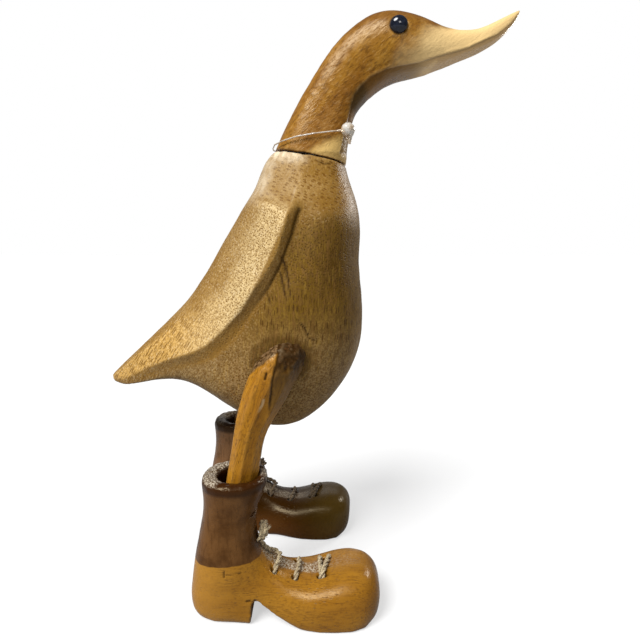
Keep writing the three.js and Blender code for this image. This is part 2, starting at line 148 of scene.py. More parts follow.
def softNoise(points, cell, seed):
    # smooth random values from -1 to 1, cell millimetres from one hill to the next
    side = 24
    lattice = np.random.default_rng(seed).uniform(-1, 1, (side, side, side))
    spot = points / cell + 100
    low = np.floor(spot).astype(int)
    share = spot - low
    share = share * share * (3 - 2 * share)
    total = np.zeros(len(points))
    for corner in np.ndindex(2, 2, 2):
        weight = np.prod(np.where(np.array(corner) == 1, share, 1 - share), axis=1)
        place = (low + corner) % side
        total += weight * lattice[place[:, 0], place[:, 1], place[:, 2]]
    return total


def smoothStep(value, start, end):
    # 0 at the start and 1 at the end, and so it falls where the end is the smaller of the two
    share = np.clip((value - start) / (end - start), 0, 1)
    return share * share * (3 - 2 * share)


def bell(value, width):
    return np.exp(-(value / width) ** 2)


def ovalReach(x, z, oval):
    # nought in the middle of an upright oval and 1 on its edge
    middleX, middleZ, halfX, halfZ = oval
    return np.hypot((x - middleX) / halfX, (z - middleZ) / halfZ)


def pathDistance(points, path, signed=False):
    # distance to a line of points and how far along it the nearest place is. A signed distance
    # is above nought on the left of the line as it runs
    nearest = np.full(len(points), 1e9)
    along = np.zeros(len(points))
    hand = np.ones(len(points))
    for i, (start, end) in enumerate(zip(path[:-1], path[1:])):
        start, step = np.array(start, float), np.array(end, float) - np.array(start, float)
        share = np.clip((points - start) @ step / (step @ step), 0, 1)
        away = points - start - share[:, None] * step
        distance = np.linalg.norm(away, axis=1)
        closer = distance < nearest
        nearest[closer] = distance[closer]
        along[closer] = (i + share[closer]) / (len(path) - 1)
        hand[closer] = np.sign(step[0] * away[closer, 1] - step[1] * away[closer, 0])
    return nearest * hand if signed else nearest, along


def readValues(collection, name, width):
    values = np.empty(len(collection) * width, dtype=np.int64 if name == "vertices" else np.float64)
    collection.foreach_get(name, values)
    return values.reshape(-1, width)


def neighbourMean(points, edges):
    first, second = edges[:, 0], edges[:, 1]
    count = np.bincount(edges.ravel(), minlength=len(points))
    columns = []
    for axis in range(3):
        fromSecond = np.bincount(first, points[second, axis], len(points))
        fromFirst = np.bincount(second, points[first, axis], len(points))
        columns.append(fromSecond + fromFirst)
    return np.stack(columns, axis=1) / np.maximum(count, 1)[:, None]


def addPiece(name, mesh):
    piece = bpy.data.objects.new(name, mesh)
    bpy.context.scene.collection.objects.link(piece)
    return piece


def fineSkin(nodeName, name, voxel, levels=0, crisp=25):
    # an even fine mesh over a solid, ready for the knife. With levels its facets are rounded
    # first, apart from edges sharper than crisp degrees
    block = bmesh.new()
    block.from_mesh(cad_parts[nodeName].data)
    bmesh.ops.remove_doubles(block, verts=block.verts, dist=1e-6)
    if levels:
        bmesh.ops.join_triangles(
            block, faces=block.faces, angle_face_threshold=math.pi, angle_shape_threshold=math.pi)
        crease = block.edges.layers.float.new("crease_edge")
        for edge in block.edges:
            angle = math.degrees(edge.calc_face_angle(0))
            edge[crease] = min(max((angle - crisp) / 30, 0), 0.85)
    mesh = bpy.data.meshes.new(name)
    block.to_mesh(mesh)
    block.free()
    piece = addPiece(name, mesh)
    if levels:
        rounding = piece.modifiers.new("rounding", "SUBSURF")
        rounding.levels = rounding.render_levels = levels
    skin = piece.modifiers.new("skin", "REMESH")
    skin.mode = "VOXEL"
    skin.voxel_size = voxel * mm
    skin.use_smooth_shade = True
    ready = piece.evaluated_get(bpy.context.evaluated_depsgraph_get())
    piece.data = bpy.data.meshes.new_from_object(ready)
    piece.modifiers.clear()
    bpy.data.meshes.remove(mesh)
    piece.data.name = name
    return piece


class Carving:
    # a fine mesh whose points are moved in millimetres, then written back
    def __init__(self, piece):
        self.piece = piece
        self.mesh = piece.data
        self.edges = readValues(self.mesh.edges, "vertices", 2)
        self.points = readValues(self.mesh.vertices, "co", 3) / mm
        self.normals = readValues(self.mesh.vertices, "normal", 3)

    def write(self):
        self.mesh.vertices.foreach_set("co", (self.points * mm).ravel())
        self.mesh.update()
        self.normals = readValues(self.mesh.vertices, "normal", 3)

    def noise(self, cell, seed):
        return softNoise(self.points, cell, seed)

    def softened(self, values, passes, weight=1.0):
        values = values.copy()
        for _ in range(passes):
            values += 0.6 * weight * (neighbourMean(values, self.edges) - values)
        return values

    def relax(self, passes, where=1.0):
        # evens out the steps of the fine skin and keeps its size
        weight = np.broadcast_to(where, len(self.points))[:, None]
        for step in range(passes * 2):
            share = 0.5 if step % 2 == 0 else -0.51
            self.points += weight * share * (neighbourMean(self.points, self.edges) - self.points)
        self.write()

    def fair(self, passes, where):
        # rounds the flats of the solid into one sweep, and gives back the girth that this takes
        smooth = self.softened(self.points, passes, where[:, None])
        self.points = smooth + self.softened(self.points - smooth, passes, where[:, None])
        self.write()

    def push(self, depth):
        self.points += self.normals * np.asarray(depth)[:, None]
        self.write()

    def store(self, **masks):
        for name, values in masks.items():
            layer = self.mesh.attributes.new(name=name, type="FLOAT", domain="POINT")
            layer.data.foreach_set("value", np.asarray(values, dtype=np.float32))

    def storeWear(self, passes, amount):
        # rubbed marks the edges that hands reach, sunk the hollows, which the finishes darken as painted
        # shade
        smooth = self.softened(self.points, passes)
        hollow = np.sum((smooth - self.points) * self.normals, axis=1) / amount
        self.store(rubbed=np.clip(-hollow, 0, 1), sunk=np.clip(hollow, 0, 1))


def finishPiece(piece, material, node):
    piece.data.materials.clear()
    piece.data.materials.append(material)
    piece.data.shade_smooth()
    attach(piece, "root")
    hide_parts(node)
    print(node, "finished:", len(piece.data.polygons), "faces")


# Shader pieces

warmGloss = (1.0, 0.82, 0.52, 1)  # old yellowed wax and varnish
fibreMarks = {  # the bristles of the root: slope in degrees, how far drawn out, least and greatest width
    "Dots": {"slope": 62, "stretch": 1.2, "small": 0.22, "large": 0.40},
    "Dashes": {"slope": -24, "stretch": 2.7, "small": 0.21, "large": 0.38, "upright": False},
    "Slashes": {"slope": 56, "stretch": 6.5, "small": 0.17, "large": 0.36},
    "Strokes": {"slope": 88, "stretch": 5.5, "small": 0.14, "large": 0.33},
}


class Wiring:
    # a node tree with short words for its joins
    def __init__(self, tree):
        self.tree = tree

    def node(self, kind, **settings):
        made = self.tree.nodes.new("ShaderNode" + kind)
        for key, value in settings.items():
            setattr(made, key, value)
        return made

    def feed(self, socket, value):
        if isinstance(value, bpy.types.NodeSocket):
            self.tree.links.new(value, socket)
        else:
            socket.default_value = value

    def feedAll(self, made, entries):
        for name, value in entries.items():
            self.feed(made.inputs[name], value)

    def maths(self, operation, first, second, clamp=False):
        made = self.node("Math", operation=operation, use_clamp=clamp)
        self.feedAll(made, {0: first, 1: second})
        return made.outputs[0]

    def times(self, first, second):
        return self.maths("MULTIPLY", first, second)

    def plus(self, first, second):
        return self.maths("ADD", first, second)

    def minus(self, first, second):
        return self.maths("SUBTRACT", first, second)

    def larger(self, first, second):
        return self.maths("MAXIMUM", first, second)

    def ramp(self, value, low, high, toLow=0.0, toHigh=1.0):
        made = self.node("MapRange", interpolation_type="SMOOTHSTEP")
        ends = {"From Min": low, "From Max": high, "To Min": toLow, "To Max": toHigh}
        self.feedAll(made, {"Value": value, **ends})
        return made.outputs["Result"]

    def blend(self, share, first, second):
        made = self.node("Mix", data_type="RGBA")
        self.feedAll(made, {0: share, 6: first, 7: second})
        return made.outputs[2]

    def noise(self, place, scale, detail=2.0, roughness=0.5):
        # the scale is about how many hills there are to a metre
        made = self.node("TexNoise")
        self.feedAll(made, {"Vector": place, "Scale": scale, "Detail": detail, "Roughness": roughness})
        return made.outputs["Fac"]

    def stored(self, name):
        return self.node("Attribute", attribute_name=name).outputs["Fac"]

    def mapped(self, place, size=(1, 1, 1), turn=0):
        # turned about Y, in degrees
        made = self.node("Mapping")
        self.feedAll(made, {"Vector": place, "Scale": size, "Rotation": (0, math.radians(turn), 0)})
        return made.outputs["Vector"]

    def parts(self, place):
        made = self.node("SeparateXYZ")
        self.feed(made.inputs[0], place)
        return made.outputs

    def joined(self, *values):
        made = self.node("CombineXYZ")
        self.feedAll(made, dict(enumerate(values)))
        return made.outputs[0]

    def grouped(self, group, **inputs):
        made = self.node("Group", node_tree=group)
        self.feedAll(made, inputs)
        return made.outputs


def newGroup(name, inputs, outputs):
    group = bpy.data.node_groups.new(name, "ShaderNodeTree")
    for key, value in inputs.items():
        kind = "NodeSocketVector" if value is None else "NodeSocketFloat"
        socket = group.interface.new_socket(name=key, in_out="INPUT", socket_type=kind)
        if value is not None:
            socket.default_value = value
    for key in outputs:
        group.interface.new_socket(name=key, in_out="OUTPUT", socket_type="NodeSocketFloat")
    given = group.nodes.new("NodeGroupInput").outputs
    result = group.nodes.new("NodeGroupOutput")
    return group, Wiring(group), given, result


def makeRootFibre(marks):
    # bamboo root: its rootlets leave the middle like bristles. Cut across they are dots,
    # and where the knife ran along them they are strokes of some slope and length
    group, wires, given, result = newGroup(
        "rootFibre", {"Place": None, "Side": 1.0, "Spacing": 1.05},
        (*marks, "Grain", "Cloud", "Speckle", "Mottle"))
    place = given["Place"]

    def cutEnds(slope, stretch, small, large, upright=True):
        # the same marks on the sides and, drawn out downwards, on the breast and back
        x, y, z = wires.parts(wires.mapped(place, turn=slope))
        along = wires.maths("DIVIDE", x, stretch)
        pair = []
        for first, second in ((y, along if upright else z), (along, z)):
            cells = wires.node("TexVoronoi", voronoi_dimensions="2D")
            density = wires.maths("DIVIDE", 1000.0, given["Spacing"])
            wires.feedAll(cells, {
                "Randomness": 0.8, "Vector": wires.joined(first, second, 0.0), "Scale": density})
            strength = wires.parts(cells.outputs["Color"])[0]
            edge = wires.ramp(strength, 0.0, 1.0, small, large)
            mark = wires.ramp(cells.outputs["Distance"], wires.times(edge, 0.5), edge, 1.0, 0.0)
            pair.append(wires.times(mark, wires.ramp(strength, 0.0, 0.6, 0.35, 1.0)))
        return wires.blend(given["Side"], *pair)

    wires.feedAll(result, {name: cutEnds(**mark) for name, mark in marks.items()})
    wires.feedAll(result, {
        "Grain": wires.noise(wires.mapped(place, size=(1, 1, 0.07)), 1300.0, 3.0, 0.62),
        "Cloud": wires.noise(place, 38.0, 4.0, 0.6),
        "Speckle": wires.noise(place, 1300.0, 2.0, 0.6),
        "Mottle": wires.noise(wires.mapped(place, size=(1, 1, 0.35)), 420.0, 4.0, 0.65),
    })
    return group


def makeBoardGrain():
    # plain straight wood, its grain along the first axis of the mapped place
    group, wires, given, result = newGroup(
        "boardGrain", {"Place": None, "Fineness": 1.0, "Wave": 0.0015}, ("Figure", "Flecks", "Lines"))
    x, y, z = wires.parts(given["Place"])
    sway = wires.times(wires.minus(wires.noise(given["Place"], 55.0), 0.5), given["Wave"])
    acrossY = wires.plus(y, sway)
    acrossZ = wires.plus(z, wires.times(sway, 1.3))

    def drawnOut(share):
        return wires.joined(wires.times(x, share), acrossY, acrossZ)

    cells = wires.node("TexVoronoi")
    wires.feedAll(cells, {"Vector": drawnOut(0.2), "Scale": wires.times(given["Fineness"], 900.0)})
    chosen = wires.ramp(wires.parts(cells.outputs["Color"])[1], 0.25, 0.75)
    fleck = wires.ramp(cells.outputs["Distance"], 0.1, 0.32, 1.0, 0.0)
    wires.feedAll(result, {
        "Figure": wires.noise(drawnOut(0.16), 150.0, 3.0, 0.55),
        "Flecks": wires.times(fleck, chosen),
        "Lines": wires.noise(drawnOut(0.05), wires.times(given["Fineness"], 1500.0)),
    })
    return group


def makeHandling():
    # where hands have rubbed the finish, and painted shade in the hollows, broken up
    group, wires, given, result = newGroup(
        "handling", {"Place": None, "Rubbed": 0.0, "Sunk": 0.0}, ("Rub", "HollowShade", "Smear"))
    broken = wires.noise(given["Place"], 420.0, 3.0, 0.6)
    wires.feedAll(result, {
        "Rub": wires.times(given["Rubbed"], wires.ramp(broken, 0.3, 0.6, 0.35, 1.0)),
        "HollowShade": wires.times(given["Sunk"], wires.ramp(broken, 0.35, 0.7, 1.0, 0.5)),
        "Smear": wires.noise(given["Place"], 95.0, 4.0, 0.6),
    })
    return group


rootFibre = makeRootFibre(fibreMarks)
boardGrain = makeBoardGrain()
handling = makeHandling()


class Finish(Wiring):
    # a material whose colour is laid on coat by coat, with colours from its piece's dictionary
    def __init__(self, name, settings, specular=0.5, gloss=(1, 1, 1, 1), **more):
        self.material = bpy.data.materials.new(name)
        self.material.use_nodes = True
        super().__init__(self.material.node_tree)
        self.settings = settings
        self.shader = self.tree.nodes["Principled BSDF"]
        self.feedAll(self.shader, {"Specular IOR Level": specular, "Specular Tint": gloss, **more})
        self.place = self.node("TexCoord").outputs["Object"]
        self.tone = None

    def handled(self):
        return self.grouped(
            handling, Place=self.place, Rubbed=self.stored("rubbed"), Sunk=self.stored("sunk"))

    def pick(self, share, *colours):
        named = [self.settings[colour] if isinstance(colour, str) else colour for colour in colours]
        return self.blend(share, *named)

    def start(self, share, first, second):
        self.tone = self.pick(share, first, second)

    def lay(self, colour, share, strength=1.0):
        # one more coat, spread by a socket or by the name of a stored mask
        if isinstance(share, str):
            share = self.stored(share)
        if strength != 1.0:
            share = self.times(share, strength)
        self.tone = self.pick(share, self.tone, colour)

    def layWhere(self, colour, value, low, high, most=1.0):
        # one more coat, coming in as the value goes from low to high
        self.lay(colour, self.ramp(value, low, high, 0.0, most))

    def close(self, rough, *layers):
        # bumps on top of each other: pairs of a height and its depth in millimetres
        below = None
        for height, depth in layers:
            bump = self.node("Bump")
            self.feedAll(bump, {"Strength": 1.0, "Distance": depth * mm, "Height": height})
            if below is not None:
                self.feed(bump.inputs["Normal"], below)
            below = bump.outputs["Normal"]
        self.feedAll(self.shader, {"Base Color": self.tone, "Roughness": rough, "Normal": below})
        return self.material


print("carving tools and finishes ready")


# The body

bodySettings = {
    "voxel": 0.63,
    "wingEdge": [(-86, 90.2), (-77.9, 91.8), (-64.9, 98.8), (-54.1, 103.8), (-45.3, 106.7), (-36.5, 110.7),
                 (-28.3, 118.3), (-22.5, 124.4), (-17.3, 133.0), (-13.2, 141.0), (-8.9, 150.0),
                 (-5.8, 157.0), (-3.6, 164.8)],
    "wingGroove": [(-85.9, 89.8), (-77.4, 90.2), (-63.6, 95.9), (-52.2, 100.2), (-43.4, 102.7), (-35, 105.4),
                   (-26.4, 113.2), (-18.9, 123.7), (-11.5, 133.6), (-6.2, 143.2), (-2.2, 153.7),
                   (0.6, 163.6)],
    "wingTop": [(-32, 169.5), (-22, 169.2), (-14.4, 168.0), (-9.4, 166.4), (-5.6, 163.8), (-3.7, 160.8)],
    "grooveDepth": 1.1, "grooveSpread": 6.5, "lineDepth": 0.5, "lineWidth": 0.5, "rimRise": 0.3,
    "grooveDeepens": (0.28, 0.62), "grooveEnds": (168, 163),  # shares of the wing's edge, and heights
    "topSwell": 0.45, "topValley": 0.95,
    "shoulder": 162.0, "shoulderDepth": 0.45, "collarDepth": 0.25, "collarHeights": (179.5, 185.5),
    "strokeHeight": 119, "strokeBand": 13, "bevelHeights": (150, 132),
    "dampMark": (12, 141, 8, 15),  # ovals: middle x and z, half width and half height
    # round the top of the leg the body is painted darker, as shade
    "legShadeOval": (-7, 105.5, 14, 10.5),
    "cracks": [
        {"path": [(-6.0, 145.4), (-5.0, 140.6), (-3.6, 132.5)], "width": 0.6, "depth": 0.6},
        {"path": [(-7.4, 141.2), (-6.6, 136.5), (-5.2, 129.8)], "width": 0.55, "depth": 0.5},
        {"path": [(-12.4, 131.6), (-11.2, 126.8)], "width": 0.5, "depth": 0.4},
        {"path": [(-0.9, 121.8), (0.1, 119.9), (1.8, 118.9), (3.2, 115.6), (4.4, 113.4), (7.0, 112.2)],
         "width": 0.4, "depth": 0.5},
        {"path": [(6.6, 182.8), (9.4, 181.8), (12.5, 182.2)], "width": 0.6, "depth": 0.3},
        {"path": [(0.2, 187.0), (2.2, 186.6)], "width": 1.3, "depth": 1.4},
    ],
    "spacings": (1.05, 0.8),  # of the root's marks, wide and fine
    "paleWood": (0.60, 0.44, 0.21, 1),
    "goldenWood": (0.56, 0.33, 0.088, 1),
    "amberWood": (0.225, 0.112, 0.014, 1),
    "bevelWood": (0.24, 0.128, 0.022, 1),
    "oliveStain": (0.142, 0.074, 0.005, 1),
    "darkStainAndShade": (0.055, 0.024, 0.001, 1),
    "bevelLow": (0.27, 0.142, 0.026, 1),
    "streak": (0.26, 0.150, 0.022, 1),
    "greyWood": (0.315, 0.212, 0.096, 1),
    "marks": (0.21, 0.105, 0.026, 1),
    "brownMarks": (0.155, 0.066, 0.007, 1),
    "darkMarks": (0.05, 0.020, 0.002, 1),
    "crackDark": (0.03, 0.012, 0.003, 1),
    "paleWearAndGlint": (0.74, 0.62, 0.44, 1),
}


def carveBody(settings):
    carving = Carving(fineSkin("body", "duckBody", settings["voxel"], levels=2))
    carving.relax(4)
    x, y, z = carving.points.T.copy()
    side = np.stack([x, z], axis=1)
    # both are above nought on the wing's side
    edge, along = pathDistance(side, settings["wingEdge"], signed=True)
    groove, _ = pathDistance(side, settings["wingGroove"], signed=True)
    strength = smoothStep(along, *settings["grooveDeepens"]) * smoothStep(z, *settings["grooveEnds"])
    between = np.clip(-edge / np.maximum(groove - edge, 0.01), 0, 1)
    cut = np.where(groove > 0, between, np.exp(np.minimum(groove, 0) / settings["grooveSpread"]))
    line = bell(groove, settings["lineWidth"])
    rim = settings["rimRise"] * bell(edge - 0.4, 1.1)
    crease = line * settings["lineDepth"] * smoothStep(z, 118, 136)
    carving.push(strength * (rim - settings["grooveDepth"] * cut - crease))
    # the wing stands a little proud of the shoulder above its top end
    over, _ = pathDistance(side, settings["wingTop"], signed=True)
    valley = smoothStep(over, -1.6, 1.4) * np.exp(-np.maximum(over, 0) / 6) * smoothStep(edge, -3, 1)
    swell = bell(over + 3.2, 3.0) * smoothStep(edge, 0, 4)
    sideways = smoothStep(np.abs(carving.normals[:, 1]), 0.3, 0.7)
    step = settings["topSwell"] * swell - settings["topValley"] * valley
    carving.push(step * smoothStep(x, -34, -24) * sideways)
    shoulderEdge = settings["shoulder"] + carving.noise(8, 5)
    below = shoulderEdge - z
    flank = smoothStep(groove, 0.0, -2.5)
    ledge = flank * smoothStep(below, -3.0, 4.5) * np.exp(-np.maximum(below, 0) / 16)
    carving.push(-settings["shoulderDepth"] * ledge * smoothStep(x, -6, 2))
    carving.push(0.16 * carving.noise(9, 3) + 0.07 * carving.noise(4.2, 4) - 0.1)
    split = np.zeros(len(x))
    wander = side + 0.3 * np.stack([carving.noise(1.3, 6), carving.noise(1.5, 7)], 1)
    for crack in settings["cracks"]:
        distance, share = pathDistance(wander, crack["path"])
        taper = np.sin(np.clip(share, 0.03, 0.97) * math.pi) ** 0.4
        opened = taper * smoothStep(distance, crack["width"], 0) * (y < 0)
        split = np.maximum(split, opened * crack["depth"])
    collar = smoothStep(z + 0.2 * x + 1.2 * carving.noise(2.6, 9), *settings["collarHeights"])
    collar *= smoothStep(x, 5, -4)
    carving.push(-split - settings["collarDepth"] * collar * (0.5 + carving.noise(1.7, 10)))
    # a painted sheen where the upper body faces back, towards the light
    napeSheen = smoothStep(carving.normals[:, 0], -0.1, -0.65) * smoothStep(z, 162, 175)
    cloud = carving.noise(14, 8) + 0.5 * carving.noise(5, 14)
    stain = flank * smoothStep(shoulderEdge + 2.0 * cloud - z, -3.5, 6.5)
    stain *= 0.3 + 0.7 * smoothStep(x + 4 * cloud, -36, -4)
    stain *= 0.55 + 0.45 * smoothStep(z + 3 * cloud, 98, 128)
    deep = bell(ovalReach(x, z, settings["dampMark"]), 1) * smoothStep(cloud, -1.1, 0.4)
    # painted shade on the body round the top of the leg, where the two meet
    legShade = ovalReach(x, z, settings["legShadeOval"]) + 0.1 * carving.noise(2.2, 15)
    deep = np.maximum(deep, smoothStep(legShade, 1.02, 0.82) * (np.abs(y) > 18))
    bevel = smoothStep(edge, 0.4, -0.5) * (1 - flank) * (z < 167)
    sideways = np.abs(carving.normals[:, 1])
    face = smoothStep(edge, -0.4, 0.8) * smoothStep(1.5 * cloud - over, -3.5, 1.5)
    face *= 0.25 + 0.75 * smoothStep(sideways, 0.45, 0.8)
    face *= 1 - 0.75 * smoothStep(edge + 2 * cloud, 8, 15) * smoothStep(x, -56, -40)
    grey = smoothStep(z + 2 * cloud, 130, 90) * flank + smoothStep(carving.normals[:, 2], -0.1, -0.7)
    band = bell(z - settings["strokeHeight"] + 0.3 * x, settings["strokeBand"])
    carving.store(
        toSide=smoothStep(sideways, 0.42, 0.68),
        face=face,
        tail=smoothStep(2 * cloud - x, 22, 58),
        bevel=bevel * smoothStep(along, 0.05, 0.4),
        upper=smoothStep(over, -1.5, 2.0) * smoothStep(z, 158, 166),
        lower=flank * band + 0.3 * stain,
        stain=stain,
        deep=deep * flank,
        grey=np.clip(grey, 0, 1),
        creaseLine=line * strength * smoothStep(z + 3 * cloud, 124, 140),
        collar=np.maximum(collar, 0.6 * napeSheen),
        split=np.clip(split / 0.5, 0, 1))
    carving.storeWear(14, 0.35)
    return carving.piece


def bodyFinish(settings):
    finish = Finish("waxedRoot", settings, specular=0.18, gloss=warmGloss)
    names = ("toSide", "face", "tail", "bevel", "upper", "lower", "stain", "grey")
    toSide, face, tail, bevel, upper, lower, stain, grey = map(finish.stored, names)
    root, fine = [finish.grouped(rootFibre, Place=finish.place, Side=toSide, Spacing=spacing)
                  for spacing in settings["spacings"]]
    touch = finish.handled()
    finish.start(finish.ramp(root["Cloud"], 0.4, 0.75, 0.0, 0.22), "amberWood", "paleWood")
    finish.lay(finish.pick(tail, "paleWood", "goldenWood"), face, 0.95)
    high, low = settings["bevelHeights"]
    height = finish.ramp(finish.parts(finish.place)[2], high * mm, low * mm)
    finish.lay(finish.pick(height, "bevelWood", "bevelLow"), bevel, 0.85)
    finish.lay("oliveStain", stain, 0.97)
    finish.lay("greyWood", grey, 0.7)
    # the damp mark is a stain, the darkening round the top of the leg is painted shade
    finish.lay("darkStainAndShade", "deep", 0.75)
    # the stain lies unevenly over the fine fibres of the flank
    dusk = finish.maths("ADD", stain, finish.times(grey, 0.6), clamp=True)
    uneven = (("darkStainAndShade", "Mottle", 0.5, 0.62, 0.5), ("darkStainAndShade", "Speckle", 0.44, 0.58, 0.6),
              ("streak", "Grain", 0.46, 0.34, 0.45))
    for colour, pattern, low, high, most in uneven:
        finish.lay(colour, finish.times(finish.ramp(root[pattern], low, high, 0.0, most), dusk))
    finish.layWhere("marks", root["Grain"], 0.48, 0.66, 0.45)
    light = finish.ramp(root["Grain"], 0.46, 0.26, 0.0, 0.25)
    finish.lay("goldenWood", finish.times(light, finish.minus(1.0, stain)))
    coarse = finish.ramp(face, 0.0, 1.0, 0.3, 0.5)
    finish.layWhere("marks", root["Speckle"], 0.48, 0.62, coarse)
    # pale specks painted as glints of light, fewer on the stained flank, the shoulder and the bevel
    calm = finish.ramp(finish.larger(upper, bevel), 0.0, 1.0, 1.0, 0.3)
    glint = finish.times(finish.minus(1.0, dusk), calm)
    finish.lay("paleWearAndGlint", finish.times(finish.ramp(root["Speckle"], 0.48, 0.3, 0.0, 0.3), glint))
    # dots on the wing and breast, dashes over the shoulder, slashes on the tail, strokes on the flank
    marks = finish.blend(upper, root["Dots"], root["Dashes"])
    marks = finish.blend(face, marks, fine["Dots"])
    marks = finish.blend(tail, marks, finish.larger(root["Slashes"], fine["Slashes"]))
    marks = finish.blend(lower, marks, root["Strokes"])
    depth = finish.minus(0.95, finish.times(bevel, 0.6))
    depth = finish.minus(depth, finish.times(tail, 0.2))
    patchy = finish.ramp(root["Cloud"], 0.4, 0.62, 0.05, 0.5)
    depth = finish.minus(depth, finish.times(lower, patchy))
    plain = finish.pick(finish.times(face, finish.minus(1.0, tail)), "brownMarks", "marks")
    finish.lay(finish.pick(stain, plain, "darkMarks"), finish.times(marks, depth))
    # darker in the hollows, as painted shade
    finish.lay("darkMarks", touch["HollowShade"], 0.2)
    # a dark line along the top of the wing's groove, painted shade in the crease
    finish.lay("darkStainAndShade", "creaseLine", 0.85)
    # pale wear round the collar, with a painted sheen on the back of the upper body below it
    wearAndSheen = finish.times(finish.stored("collar"), finish.ramp(touch["Smear"], 0.34, 0.52, 0.4, 0.95))
    finish.lay("paleWearAndGlint", finish.times(wearAndSheen, finish.ramp(root["Mottle"], 0.38, 0.58, 0.55, 1.0)))
    finish.lay("paleWood", touch["Rub"], 0.12)
    finish.lay("crackDark", "split")
    rough = finish.plus(finish.ramp(touch["Smear"], 0.3, 0.7, 0.36, 0.5), finish.times(stain, 0.16))
    relief = (marks, -0.1), (root["Grain"], 0.08), (root["Speckle"], 0.1), (root["Mottle"], 0.12)
    return finish.close(rough, *relief)


finishPiece(carveBody(bodySettings), bodyFinish(bodySettings), "body")


# Head, neck and bill

headSettings = {
    "voxel": 0.45,
    "jawEdge": [(18.1, 197), (19.7, 203.7), (21.3, 208.7), (23.8, 211.9), (27.4, 215.1), (33.6, 217.8),
                (39.1, 219.1), (43.1, 219.8), (46.6, 220.4), (51.8, 222.0), (57.3, 223.8), (65.6, 226.4),
                (77.1, 231.7), (82.6, 236.2), (85.8, 240.2)],
    "shine": [(10.5, 217.5), (14.0, 222.5), (19.0, 227.3), (26.0, 231.0), (32.0, 232.6)],
    "chinRidge": [(44.7, 215.6), (47.0, 218.2), (51.1, 219.7), (53.5, 221.4)],
    "throat": (22.5, 208.0, 5.0, 6.5),  # an oval: middle x and z, half width and half height
    "chinAt": 42.5, "chinRise": 0.6, "jawCut": 0.3,
    "billSmooths": (46, 60), "billThins": (80, 70),
    "eyeAt": (37.6, 232.6), "eyeRadius": 3.35, "seatDepth": 0.3,
    "strokeWays": [(0.82, -0.57), (0.57, 0.82)], "strokeTurn": 35,  # along and across the tool strokes
    "grainTurn": 52,
    "footLine": 186.2, "footSlope": 0.62,  # where the pale foot of the neck ends
    "billPales": (38, 57), "crownDarkens": (228, 238),  # from where to where
    "brownWood": (0.218, 0.087, 0.008, 1),
    "amberWood": (0.335, 0.156, 0.017, 1),
    "crownWood": (0.135, 0.046, 0.003, 1),
    "darkFigure": (0.075, 0.026, 0.004, 1),
    "billWood": (0.80, 0.56, 0.25, 1),
    "neckFoot": (0.70, 0.47, 0.16, 1),
    "jawShade": (0.115, 0.048, 0.005, 1),
    "throatShade": (0.045, 0.020, 0.001, 1),
    "stripShade": (0.52, 0.33, 0.15, 1),
    "paintedGlare": (0.66, 0.50, 0.33, 1),
    "seatShadow": (0.02, 0.012, 0.006, 1),
}


def carveHead(settings):
    carving = Carving(fineSkin("head_neck", "duckHead", settings["voxel"], levels=2, crisp=40))
    carving.relax(3)
    carving.relax(48, smoothStep(carving.points[:, 0], *settings["billSmooths"]))
    x, y, z = carving.points.T.copy()
    side = np.stack([x, z], axis=1)
    # the knife took a flat off the underside of the jaw and bill
    jaw, _ = pathDistance(side, settings["jawEdge"], signed=True)
    under = -jaw * smoothStep(z, 186, 196)
    flat = smoothStep(under, -0.35, 0.35)
    thick = smoothStep(x, *settings["billThins"])
    carving.push((0.22 * bell(under + 0.5, 0.6) * (x > 22) - settings["jawCut"] * flat) * thick)
    carving.push(settings["chinRise"] * bell(x - settings["chinAt"], 3.4) * smoothStep(under, 1.0, 4.0))
    grain = side @ np.array(settings["strokeWays"]).T * (0.45, 1.0)
    tooled = softNoise(np.stack([grain[:, 0], y, grain[:, 1]], axis=1), 2.0, 12)
    carving.push((0.12 * carving.noise(7, 11) + 0.07 * tooled - 0.1) * thick)
    eyeX, eyeZ = settings["eyeAt"]
    seat = bell(np.hypot(x - eyeX, z - eyeZ) - settings["eyeRadius"], 0.3)
    carving.push(-settings["seatDepth"] * seat)
    ridge, _ = pathDistance(side, settings["chinRidge"])
    shine, _ = pathDistance(side, settings["shine"])
    throat = ovalReach(x, z, settings["throat"])
    carving.store(
        # the seat round the eye is painted darker as shadow, most at its upper back edge
        seat=seat * (0.35 + 0.65 * smoothStep(z - x, 193, 198)),
        # the flat underside of jaw and bill is painted darker, as shade
        jaw=flat * smoothStep(x, 53, 44),
        strip=flat * smoothStep(x, 44, 53),
        above=np.clip(-under, 0, 14) / 14,
        topside=smoothStep(carving.normals[:, 2], 0.2, 0.75),
        lip=bell(under, 0.32) * smoothStep(x, 45, 52),
        shine=smoothStep(shine, 4.0, 0.5),
        ridge=smoothStep(ridge, 0.7, 0.2) * flat,
        throat=smoothStep(throat, 1.2, 0.6) * smoothStep(under, -2.2, 0.4))
    carving.storeWear(14, 0.3)
    return carving.piece


